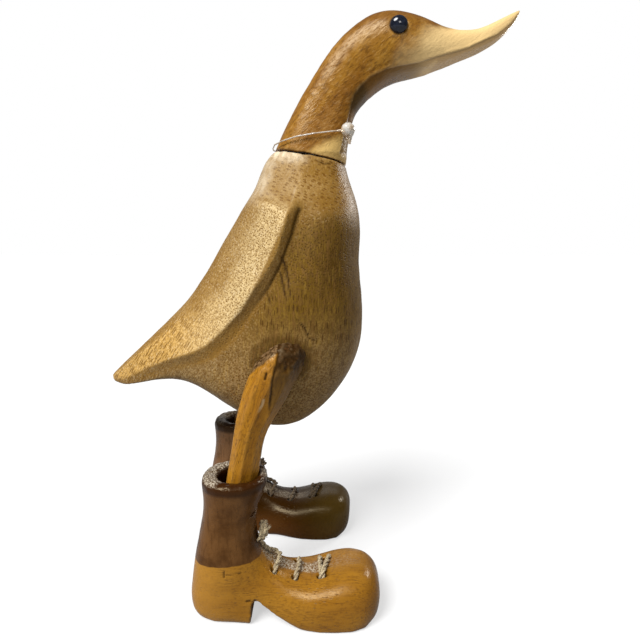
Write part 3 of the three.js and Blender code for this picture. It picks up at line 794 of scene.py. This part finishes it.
def headFinish(settings):
    finish = Finish("varnishedHead", settings, specular=0.25, gloss=warmGloss)
    place = finish.place
    grainPlace = finish.mapped(place, turn=settings["grainTurn"])
    grain = finish.grouped(boardGrain, Place=grainPlace, Wave=0.006)
    touch = finish.handled()
    x, _, z = finish.parts(place)
    # short curled tool strokes that climb towards the crown
    tooled = finish.mapped(finish.mapped(place, turn=settings["strokeTurn"]), size=(0.36, 0.7, 1))
    curls = finish.noise(tooled, 1050.0, 3.0, 0.6)
    finish.start(finish.ramp(grain["Figure"], 0.35, 0.65), "brownWood", "amberWood")
    finish.layWhere("darkFigure", grain["Lines"], 0.5, 0.7, 0.35)
    finish.layWhere("darkFigure", curls, 0.5, 0.66, 0.55)
    finish.layWhere("billWood", curls, 0.46, 0.3, 0.12)
    # the foot of the neck was left pale, up to a line along the slanting cut
    foot = finish.plus(z, finish.times(x, -settings["footSlope"]))
    foot = finish.minus(foot, settings["footLine"] * mm)
    foot = finish.plus(foot, finish.times(touch["Smear"], 0.008))
    finish.layWhere("neckFoot", foot, 0.0045, -0.001, 0.85)
    finish.lay("darkFigure", grain["Flecks"], 0.3)
    low, high = settings["crownDarkens"]
    finish.lay("crownWood", finish.ramp(z, low * mm, high * mm), 0.6)
    # a painted glare on the upper neck behind the eye, broken up by the tool strokes
    haze = finish.ramp(curls, 0.6, 0.38, 0.02, 0.24)
    finish.lay("paintedGlare", finish.times(finish.stored("shine"), haze))
    bill = finish.plus(x, finish.times(touch["Smear"], 0.014))
    bill = finish.minus(bill, finish.times(finish.stored("above"), 0.0115))
    bill = finish.minus(bill, finish.times(finish.stored("topside"), 0.009))
    pale, palest = settings["billPales"]
    finish.layWhere("billWood", bill, pale * mm, palest * mm, 0.97)
    # the flat underside of jaw and bill painted darker, painted shade on a face that looks down, darkest in
    # the throat
    finish.lay("stripShade", "strip", 0.85)
    finish.lay("jawShade", "jaw", 0.75)
    finish.lay("billWood", "ridge", 0.5)
    finish.lay("throatShade", "throat", 0.85)
    finish.lay("darkFigure", "lip", 0.55)
    # darker in the hollows, as painted shade
    finish.lay("darkFigure", touch["HollowShade"], 0.5)
    # painted shadow round the eye's seat
    finish.lay("seatShadow", "seat")
    finish.lay("billWood", touch["Rub"], 0.2)
    rough = finish.ramp(touch["Smear"], 0.3, 0.7, 0.24, 0.38)
    return finish.close(rough, (curls, 0.2), (grain["Lines"], 0.05), (touch["Smear"], 0.1))


finishPiece(carveHead(headSettings), headFinish(headSettings), "head_neck")


# Legs

legSettings = {
    "voxel": 0.42,
    "split": [(78, -11.8), (85.5, -11.1), (90.6, -10.7), (95.7, -9.8), (101.1, -8.8), (105.7, -8.0),
              (108.8, -7.4)],  # z and x
    "nick": [(-11.6, 102.4), (-12.2, 100.3)],
    "scratch": [(-12.7, 92.2), (-13.3, 90.2), (-14.9, 87.6)],
    "depths": {"cleft": 0.4, "nick": 0.4, "scratch": 0.15, "hollow": 0.3, "lumps": 0.34},
    "endHeight": 100.4, "endSlope": 0.8, "endBack": -19.3,  # where the rough sawn end begins
    "grainTurn": 72,
    "amber": (0.40, 0.178, 0.014, 1),
    "brown": (0.29, 0.118, 0.008, 1),
    "frontShade": (0.155, 0.078, 0.013, 1),
    "roughEnd": (0.17, 0.098, 0.043, 1),
    "endGrain": (0.030, 0.011, 0.001, 1),
    "redStain": (0.085, 0.032, 0.008, 1),
    "fleck": (0.09, 0.035, 0.006, 1),
    "bare": (0.55, 0.38, 0.2, 1),
}


def carveLeg(side, settings):
    carving = Carving(fineSkin("leg_" + side, "leg" + side.title(), settings["voxel"]))
    carving.relax(6)
    carving.fair(50, smoothStep(carving.points[:, 2], 92, 101))
    x, y, z = carving.points.T.copy()
    flat = np.stack([x, z], axis=1)
    depths = settings["depths"]
    outer = smoothStep(carving.normals[:, 1] * np.sign(y.mean()), -0.25, 0.2)
    knife = 0.8 * carving.noise(4, 23) + 0.4 * carving.noise(1.6, 24)
    past = x - np.interp(z, *zip(*settings["split"])) - 0.4 * knife
    climb = settings["endSlope"] * np.minimum(x - settings["endBack"], 12)
    end = smoothStep(z + 0.8 * knife - settings["endHeight"] - climb, -0.5, 0.7)
    fibre = softNoise(carving.points / (1.1, 1.1, 5.5), 1, 28)
    front = smoothStep(past, -0.2, 0.6)
    hollow = smoothStep(z + 2.4 * fibre + 1.5 * knife, 99.5, 105) * front
    lumps = carving.noise(2.1, 25) + 0.5 * carving.noise(1.1, 26)
    lumps *= smoothStep(z + knife, 97, 104)
    cleft = bell(past, 0.5) * smoothStep(z, 84, 92) * outer
    nick, _ = pathDistance(flat, settings["nick"])
    nick = smoothStep(nick, 0.7, 0.1) * outer
    scratch, _ = pathDistance(flat + 0.3 * knife[:, None], settings["scratch"])
    scratch = smoothStep(scratch, 0.7, 0.2) * outer * smoothStep(knife, -0.9, 0.1)
    tooled = 0.1 * carving.noise(6, 22) + 0.22 * end * carving.noise(1.4, 21) - 0.1
    carving.push(tooled - depths["cleft"] * cleft - depths["nick"] * nick - depths["scratch"] * scratch
                 - depths["hollow"] * hollow + depths["lumps"] * lumps)
    carving.store(
        # the front facet is painted darker towards the body, as painted shade under it
        front=smoothStep(past, -0.2, 0.3) * smoothStep(z + 2 * knife, 76, 92),
        end=end,
        # the hollow is dark end grain; lower down the front facet it is painted shade under the body
        hollow=np.maximum(0.95 * hollow, 0.6 * smoothStep(z + 3 * fibre, 93, 104) * front),
        cleft=np.clip(cleft + nick, 0, 1),
        scratch=scratch)
    carving.storeWear(10, 0.22)
    return carving.piece


def legFinish(settings):
    finish = Finish("varnishedLeg", settings, specular=0.22, gloss=warmGloss)
    grainPlace = finish.mapped(finish.place, turn=settings["grainTurn"])
    grain = finish.grouped(boardGrain, Place=grainPlace, Fineness=1.6)
    touch = finish.handled()
    speck = finish.noise(finish.place, 900.0, 3.0, 0.65)
    finish.start(finish.ramp(grain["Figure"], 0.32, 0.62), "brown", "amber")
    # painted shade down the front facet, under the body
    finish.lay("frontShade", "front", 0.85)
    finish.layWhere("fleck", grain["Lines"], 0.48, 0.66, 0.45)
    finish.lay("fleck", grain["Flecks"], 0.8)
    finish.layWhere("fleck", speck, 0.52, 0.68, 0.4)
    finish.lay(finish.pick(finish.ramp(speck, 0.42, 0.6), "endGrain", "roughEnd"), "end")
    # dark end grain in the hollow, with painted shade below it on the front facet
    finish.lay(finish.pick(finish.ramp(speck, 0.54, 0.7), "endGrain", "redStain"), "hollow")
    # darker in the hollows, as painted shade
    finish.lay("endGrain", touch["HollowShade"], 0.6)
    finish.lay("bare", touch["Rub"], 0.12)
    finish.lay("bare", "scratch", 0.8)
    finish.lay("endGrain", "cleft")
    dull = finish.times(finish.stored("hollow"), 0.2)
    rough = finish.plus(finish.ramp(touch["Smear"], 0.3, 0.7, 0.25, 0.42), dull)
    relief = (grain["Lines"], 0.05), (grain["Flecks"], -0.06), (speck, 0.1), (touch["Smear"], 0.1)
    return finish.close(rough, *relief)


legWood = legFinish(legSettings)
for side in sides:
    finishPiece(carveLeg(side, legSettings), legWood, "leg_" + side)


# Boots

bootSettings = {
    "voxel": 0.46,
    "stance": {"right": (-25.8, -31.7, 2), "left": (-36.1, 31.7, -2)},  # middle of the rim, degrees turned
    "socketAhead": 1.7, "socketRadius": 8.2, "rimCloses": 1.5,
    "arch": (9.5, 0, 9, 12),  # an oval: how far ahead and how high, half width and half height
    "bend": 22, "laced": {"from": 12, "to": 44, "half": 7, "above": 9},  # where the lace holes are
    "nicks": [{"path": [(-28.9, 24.2), (-28.9, 21.8)], "width": 0.45},
              {"path": [(-28.1, 22.9), (-22.2, 23.1)], "width": 0.28},
              {"path": [(-20.4, 11.2), (-19.0, 11.4)], "width": 0.6},
              {"path": [(-17.4, 11.2), (-16.9, 11.3)], "width": 0.6}],
    "paintHeight": 25.3, "paintDip": 0.05, "lipHeight": 54.5,
    "tan": (0.275, 0.124, 0.012, 1),
    "tanLight": (0.42, 0.20, 0.03, 1),
    "tanDeep": (0.225, 0.094, 0.008, 1),
    "fleck": (0.085, 0.032, 0.006, 1),
    "paint": (0.122, 0.053, 0.015, 1),
    "paintDeep": (0.052, 0.018, 0.003, 1),
    "paintSheen": (0.29, 0.145, 0.065, 1),
    "lip": (0.026, 0.007, 0.001, 1),
    "stain": (0.016, 0.0045, 0.0003, 1),
    "stainRed": (0.050, 0.014, 0.002, 1),
    "toeStainAndSheen": (0.062, 0.036, 0.006, 1),
    "greyWearAndGlare": (0.085, 0.050, 0.022, 1),
    "paleWearAndGlints": (0.56, 0.49, 0.38, 1),
}


def inBootFrame(points, stance):
    # places measured from the middle of the boot's rim, towards its toe
    rimX, rimY, turn = stance
    angle = math.radians(turn)
    x, y = points[:, 0] - rimX, points[:, 1] - rimY
    return x * math.cos(angle) + y * math.sin(angle), y * math.cos(angle) - x * math.sin(angle)


def carveBoot(side, settings):
    carving = Carving(fineSkin("boot_" + side, "boot" + side.title(), settings["voxel"]))
    stance, socket = settings["stance"][side], settings["socketAhead"]
    hand = np.sign(stance[1])
    ahead, across = inBootFrame(carving.points, stance)
    z = carving.points[:, 2]
    # the sockets, lace holes, sole, arch and rim keep their shape while the rest is rounded
    hollow = np.hypot(ahead - socket, across) < settings["socketRadius"] + 0.9
    laced = settings["laced"]
    holes = (np.abs(across) < laced["half"]) & (ahead > laced["from"]) & (ahead < laced["to"])
    holes &= (carving.normals[:, 2] > -0.2) & (z > laced["above"])
    bend = bell(ahead - settings["bend"], 6)
    ease = np.where(hollow & (z > 40) | holes, 0.07, 1.0)
    ease = np.minimum(ease, 0.1 + 0.9 * np.maximum(smoothStep(z, 0.6, 2.2), bend))
    ease = np.minimum(ease, 1.0 - 0.93 * smoothStep(ovalReach(ahead, z, settings["arch"]), 1.25, 0.8))
    ease = np.minimum(ease, 1.0 - 0.75 * smoothStep(z, 54, 57))
    ground = z.min()
    carving.fair(130, ease)
    carving.points[:, 2] = np.maximum(carving.points[:, 2], ground)
    # the front of the rim closes round the leg
    place = carving.points[:, :2] - (stance[0] + socket, stance[1])
    reach = np.linalg.norm(place, axis=1)
    near = smoothStep(reach, 10.6, 8.4) * smoothStep(place[:, 0], -6, 1)
    near *= settings["rimCloses"] * smoothStep(carving.points[:, 2], 50, 56)
    carving.points[:, :2] -= place * (near / np.maximum(reach, 4))[:, None]
    ahead, across = inBootFrame(carving.points, stance)
    x, _, z = carving.points.T.copy()
    rimTop = smoothStep(z, 58.2, 59.4) * smoothStep(carving.normals[:, 2], 0.2, 0.7)
    sole = smoothStep(carving.normals[:, 2], -0.7, -0.95)
    knife = 0.1 * carving.noise(8, 31) + 0.05 * carving.noise(3.6, 32)
    outer = (carving.normals[:, 1] * hand > 0.2) & (side == "right")
    nick = np.zeros(len(x))
    for mark in settings["nicks"]:
        distance, _ = pathDistance(np.stack([x, z], axis=1), mark["path"])
        nick = np.maximum(nick, smoothStep(distance, mark["width"], 0) * outer)
    carving.push((knife - 0.08) * (1 - sole) + 0.25 * rimTop * carving.noise(1.5, 33) - 0.3 * nick)
    # inside marks the opening round the leg, painted near black as shade
    inside = smoothStep(np.hypot(ahead - socket, across), 8.9, 8.3) * (z > 40)
    inside *= ((ahead - socket) * carving.normals[:, 0] + across * carving.normals[:, 1] < 0) | (z > 57)
    back = smoothStep(-0.95 * ahead + 0.3 * across + 1.5 * carving.noise(3, 34), 0.5, 5.0)
    # the instep strip is where a glare is painted along the top of the foot
    spine = np.abs(across + 1.5 * hand + 0.8 * carving.noise(3, 35))
    instep = smoothStep(spine, 4.2, 2.2) * smoothStep(ahead, 8.5, 11) * (z > 12)
    instep *= (1 - 0.8 * smoothStep(ahead, 30, 40)) * smoothStep(ahead, 55, 46)
    carving.store(
        ahead=ahead * mm, rim=rimTop * back * (1 - inside), inside=inside, nick=nick, instep=instep)
    carving.storeWear(12, 0.3)
    return carving.piece


def bootFinish(name, settings, dark):
    finish = Finish(name, settings, specular=0.22, gloss=warmGloss)
    place = finish.place
    grain = finish.grouped(boardGrain, Place=place, Fineness=1.6, Wave=0.002)
    touch = finish.handled()
    z = finish.parts(place)[2]
    ahead = finish.stored("ahead")
    grit = finish.noise(place, 1100.0, 3.0, 0.65)
    finish.start(finish.ramp(grain["Figure"], 0.3, 0.65), "tanDeep", "tan")
    finish.layWhere("fleck", grain["Lines"], 0.48, 0.66, 0.4)
    finish.lay("fleck", grain["Flecks"], 0.7)
    finish.layWhere("fleck", grit, 0.52, 0.66, 0.3)
    finish.layWhere("tanLight", ahead, 0.004, -0.012, 0.5)
    # the front of the toe is painted darker, as painted shade on its front facet
    finish.layWhere("fleck", ahead, 0.048, 0.056, 0.3)
    paint = finish.pick(finish.ramp(touch["Smear"], 0.35, 0.7), "paint", "paintDeep")
    if dark:
        # the toe is olive, its stain together with a painted sheen on its top
        toe = finish.times(finish.ramp(ahead, 0.026, 0.05), finish.ramp(z, 0.0, 0.014, 0.7, 1.0))
        stained = finish.pick(finish.ramp(z, 0.016, 0.006), "stain", "stainRed")
        stained = finish.pick(toe, stained, "toeStainAndSheen")
        finish.lay(stained, finish.ramp(z, 0.002, 0.018, 0.90, 0.96))
        # the left shaft is painted lighter, a painted sheen of the light from behind
        paint = finish.pick(0.6, paint, "paintSheen")
    # darker in the hollows, as painted shade
    finish.lay("fleck", touch["HollowShade"], 0.5)
    # the painted shaft ends in a hand-drawn line that dips towards the back
    edge = finish.plus(settings["paintHeight"] * mm, finish.times(ahead, settings["paintDip"]))
    edge = finish.plus(edge, finish.times(finish.noise(place, 140.0, 1.0), 0.0016))
    painted = finish.ramp(finish.minus(z, edge), 0.0, 0.0003)
    strokes = finish.noise(finish.mapped(place, size=(1, 1, 0.08)), 1000.0, 2.0, 0.6)
    paint = finish.pick(finish.ramp(strokes, 0.5, 0.68, 0.0, 0.5), paint, "paintDeep")
    lipHeight = settings["lipHeight"] * mm
    paint = finish.pick(finish.ramp(z, lipHeight, lipHeight + 0.002, 0.0, 0.92), paint, "lip")
    finish.lay(paint, painted)
    # old varnish has turned grey and grainy round the back of the rim; along the instep the same grey grains
    # are a painted glare
    wearAndGlare = finish.larger(finish.times(finish.stored("instep"), 0.8), finish.stored("rim"))
    finish.lay("greyWearAndGlare", wearAndGlare, 0.75)
    grains = finish.ramp(finish.noise(place, 1500.0, 3.0, 0.7), 0.46, 0.6)
    finish.lay("paleWearAndGlints", finish.times(wearAndGlare, finish.times(grains, 0.45 if dark else 0.95)))
    # painted shade inside the opening round the leg
    finish.lay("stain", "inside")
    finish.lay("tan", finish.times(touch["Rub"], finish.ramp(painted, 0.0, 1.0, 0.08, 0.015)))
    finish.lay("stain", "nick")
    rough = finish.ramp(touch["Smear"], 0.3, 0.7, 0.2, 0.36)
    relief = (grain["Lines"], 0.04), (grain["Flecks"], -0.05), (grit, 0.07), (touch["Smear"], 0.1)
    return finish.close(rough, *relief)


bootWoods = {
    "right": bootFinish("twoToneBoot", bootSettings, dark=False),
    "left": bootFinish("stainedBoot", bootSettings, dark=True),
}
for side in sides:
    finishPiece(carveBoot(side, bootSettings), bootWoods[side], "boot_" + side)


# Eyes

eyeSettings = {
    "radius": 3.45, "rise": 0.66, "height": 0.95,  # shares of the radius, sideways and upright
    "place": (37.6, 13.8, 232.6),
    "black": (0.006, 0.008, 0.016, 1),
    "bloom": (0.012, 0.016, 0.03, 1),
}


def makeEye(side, settings):
    ball = bmesh.new()
    bmesh.ops.create_uvsphere(ball, u_segments=56, v_segments=36, radius=settings["radius"] * mm)
    bmesh.ops.scale(ball, vec=(1, settings["rise"], settings["height"]), verts=ball.verts)
    x, y, z = settings["place"]
    hand = -1 if side == "right" else 1
    bmesh.ops.translate(ball, vec=Vector((x, hand * y, z)) * mm, verts=ball.verts)
    mesh = bpy.data.meshes.new("eye" + side.title())
    ball.to_mesh(mesh)
    ball.free()
    return addPiece(mesh.name, mesh)


def eyeFinish(settings):
    finish = Finish("blackBead", settings)
    haze = finish.noise(finish.place, 900.0)
    finish.start(finish.ramp(haze, 0.4, 0.7), "black", "bloom")
    return finish.close(finish.ramp(haze, 0.35, 0.7, 0.08, 0.16), (haze, 0.01))


beadBlack = eyeFinish(eyeSettings)
for side in sides:
    finishPiece(makeEye(side, eyeSettings), beadBlack, "eye_" + side)


# Laces of two-ply twine

laceSettings = {
    "radius": 1.05, "pitch": 5.6, "step": 0.3,
    "instep": [(8.0, 37.0), (8.6, 31.2), (10.4, 26.6), (12.6, 23.4), (14.2, 21.9), (15.8, 20.9),
               (17.4, 19.9), (19.2, 18.9), (21.6, 17.9), (24.8, 17.2), (29.0, 16.8), (34.2, 17.9),
               (40.4, 19.7), (47.2, 20.9)],
    "lift": 1.3, "holeDepth": 5.6, "holeAcross": 4.4, "stitchReach": 6.6,
    "fromKnot": [(9.5, 0.2, 32.4), (9.6, 0.5, 30.0), (10.9, 1.2, 27.0)],
    "knotSize": 1.9, "knotLoop": 0.85, "knotFlat": (0.7, 1.0, 1.1),  # shares along, across and upright
    "crossings": {"right": (15.6, 24.2, 34.4, 36.4), "left": (16.6, 27.4, 38.6, 40.6)},
    "bows": (2.0, 1.2, -0.3, 0.2),  # how far each stitch bows towards the toe
    "leans": (0.5, 0.5, -0.2, 1.4),  # and how far its far end lies ahead
    "knots": {"right": (10.9, 0, 35), "left": (10.9, 0, 33)},
    "profile": [(6.4, -3.0), (5.9, -1.1), (4.8, -0.1), (2.8, 0), (-2.0, 0), (-3.7, -0.1), (-4.7, -1.1),
                (-5.2, -3.0)],  # across and up, over one stitch
    "ends": [(-1.4, -2.6, -3.6), (0.4, -1.2, 4.6), (2.2, -2.4, 3.0)],  # ways of the frayed ends
    "hairs": {"lace": 150, "knot": 140, "end": 40},
    "twines": {"right": ((0.58, 0.48, 0.30, 1), (0.15, 0.10, 0.05, 1)),
               "left": ((0.20, 0.145, 0.085, 1), (0.045, 0.026, 0.012, 1))},  # straw, light and dark
}


def lacePath(side, settings):
    # over and under the instep, in the boot's own frame
    lineX, lineZ = zip(*settings["instep"])

    def high(x):
        return float(np.interp(x, lineX, lineZ)) + settings["lift"]

    def over(x, bow, lean):
        stitch = []
        for across, rise in settings["profile"]:
            ahead = bow * math.cos(across / settings["stitchReach"] * math.pi / 2) + lean * across / 5
            stitch.append((x + ahead, across, high(x) + rise))
        return stitch

    places, hole = settings["crossings"][side], settings["holeAcross"]
    bends = list(zip(settings["bows"], settings["leans"]))
    first = places[0]
    path = [settings["knots"][side], *settings["fromKnot"],
            (12.9, 2.6, high(12.9) - 0.1), (first - 0.6, 4.6, high(first - 0.6) + 0.1)]
    path += over(first, *bends[0])[3:]
    for i, x in enumerate(places):
        depth = high(x) - settings["holeDepth"]
        path.append((x - 0.3, -hole, depth))
        if i + 1 < len(places):
            following = places[i + 1]
            path.append((following + 0.3, hole, high(following) - settings["holeDepth"]))
            path += over(following, *bends[i + 1])
        else:
            path.append((x - 0.3, -1.2, depth))
    return path


def evenPath(path, step):
    # the same way in small equal steps, its corners eased
    path = np.array(path, float)
    lengths = np.r_[0, np.cumsum(np.linalg.norm(np.diff(path, axis=0), axis=1))]
    marks = np.linspace(0, lengths[-1], max(int(lengths[-1] / step), 4))
    fine = np.stack([np.interp(marks, lengths, path[:, axis]) for axis in range(3)], axis=1)
    for _ in range(4):
        fine[1:-1] += 0.5 * ((fine[:-2] + fine[2:]) / 2 - fine[1:-1])
    return fine


def pathFrames(path):
    # each point of the way, with two directions across it that turn as little as they can
    frames = []
    normal = Vector((1, 0.2, 0))
    for i, point in enumerate(path):
        ahead = Vector(path[min(i + 1, len(path) - 1)] - path[max(i - 1, 0)]).normalized()
        normal = (normal - ahead * normal.dot(ahead)).normalized()
        frames.append((Vector(point), normal.copy(), ahead.cross(normal)))
    return frames


def addStrand(curve, places, radii):
    spline = curve.splines.new("POLY")
    spline.points.add(len(places) - 1)
    for point, place, radius in zip(spline.points, places, radii):
        point.co = (*(Vector(place) * mm), 1)
        point.radius = radius


def addTwine(curve, path, settings, draws, opening=0.0, stout=1.0):
    frames = pathFrames(evenPath(path, settings["step"]))
    ply = settings["radius"] * 0.54 * stout
    for strand in range(2):
        places, radii = [], []
        for i, (point, normal, across) in enumerate(frames):
            turn = 2 * math.pi * (i * settings["step"] / settings["pitch"]) + strand * math.pi
            apart = ply * (0.86 + opening * i / len(frames))
            places.append(point + (normal * math.cos(turn) + across * math.sin(turn)) * apart)
            radii.append(ply * draws.uniform(0.9, 1.06))
        addStrand(curve, places, radii)
    return frames


def addHairs(curve, frames, count, draws, length=1.6, radius=0.78):
    for _ in range(count):
        i = int(draws.integers(1, len(frames) - 1))
        point, normal, across = frames[i]
        ahead = (frames[i][0] - frames[i - 1][0]).normalized()
        turn = draws.uniform(0, 2 * math.pi)
        out = normal * math.cos(turn) + across * math.sin(turn)
        start = point + out * radius * 0.7
        reach = draws.uniform(0.4, 1.0) * length
        lean = ahead * draws.uniform(-0.9, 0.9)
        middle = start + (out * 0.5 + lean * 0.6) * reach * 0.5
        droop = Vector((0, 0, draws.uniform(-0.5, 0.3)))
        end = middle + (out * 0.35 + lean + droop) * reach * 0.5
        addStrand(curve, (start, middle, end), (0.055, 0.045, 0.02))


def makeLace(side, stance, settings):
    draws = np.random.default_rng(41 if side == "right" else 42)
    curve = bpy.data.curves.new("laceStrands", "CURVE")
    curve.dimensions = "3D"
    curve.bevel_depth = mm
    curve.bevel_resolution = 2
    curve.use_fill_caps = True
    hairs = settings["hairs"]
    frames = addTwine(curve, lacePath(side, settings), settings, draws)
    addHairs(curve, frames, hairs["lace"], draws)
    # an overhand knot: a small knotted ring, with its three loose ends frayed
    middle = Vector(settings["knots"][side])
    ring = []
    for angle in np.linspace(0, 2 * math.pi, 40):
        swing = settings["knotSize"] + settings["knotLoop"] * math.cos(3 * angle)
        place = (math.sin(3 * angle), swing * math.cos(2 * angle), swing * math.sin(2 * angle))
        ring.append(middle + Vector(place) * Vector(settings["knotFlat"]))
    knotFrames = addTwine(curve, ring, settings, draws, stout=1.2)
    addHairs(curve, knotFrames, hairs["knot"], draws, length=2.2, radius=1.2)
    for way in settings["ends"]:
        end = [middle + Vector(way) * share for share in (0.3, 0.6, 0.85, 1.0)]
        endFrames = addTwine(curve, end, settings, draws, opening=0.9)
        addHairs(curve, endFrames, hairs["end"], draws, length=2.0)
    shape = bpy.data.objects.new("laceShape", curve)
    bpy.context.scene.collection.objects.link(shape)
    mesh = bpy.data.meshes.new_from_object(shape.evaluated_get(bpy.context.evaluated_depsgraph_get()))
    bpy.data.objects.remove(shape)
    rimX, rimY, turn = stance
    move = Matrix.Translation((rimX * mm, rimY * mm, 0))
    mesh.transform(move @ Matrix.Rotation(math.radians(turn), 4, "Z"))
    mesh.name = "lace" + side.title()
    return addPiece(mesh.name, mesh)


def twineFinish(name, settings, straw, strawDark):
    finish = Finish(name, settings, specular=0.2, **{"Sheen Weight": 0.15})
    fibres = finish.noise(finish.place, 2600.0, 3.0, 0.6)
    patches = finish.ramp(finish.noise(finish.place, 300.0), 0.3, 0.65, 0.55, 1.0)
    finish.start(finish.times(finish.ramp(fibres, 0.35, 0.65), patches), strawDark, straw)
    return finish.close(finish.ramp(fibres, 0.3, 0.7, 0.75, 0.95), (fibres, 0.12))


for side in sides:
    # the left one took some of its boot's dark stain
    twine = twineFinish("twine" + side.title(), laceSettings, *laceSettings["twines"][side])
    lace = makeLace(side, bootSettings["stance"][side], laceSettings)
    finishPiece(lace, twine, "lace_" + side)


# The clear tag loop

loopSettings = {
    "voxel": 0.17,
    "bead": (18.7, -12.5, 194.9),
    "thinned": 0.2,  # off the filament's skin, and not off the bead
    "plastic": {"Coat Weight": 0.3, "Coat Roughness": 0.08, "Transmission Weight": 0.35},
    "milk": (0.80, 0.76, 0.68, 1),
    "yellowed": (0.62, 0.48, 0.33, 1),
}


def makeLoop(settings):
    carving = Carving(fineSkin("tag_loop", "tagLoop", settings["voxel"]))
    carving.relax(8)
    bead = np.linalg.norm(carving.points - settings["bead"], axis=1)
    carving.push(-settings["thinned"] * smoothStep(bead, 3.2, 5.0))
    return carving.piece


def loopFinish(settings):
    finish = Finish("clearPlastic", settings, **settings["plastic"])
    cloud = finish.noise(finish.place, 260.0)
    finish.start(finish.ramp(cloud, 0.4, 0.65), "milk", "yellowed")
    return finish.close(finish.ramp(cloud, 0.3, 0.7, 0.18, 0.3), (cloud, 0.1))


finishPiece(makeLoop(loopSettings), loopFinish(loopSettings), "tag_loop")
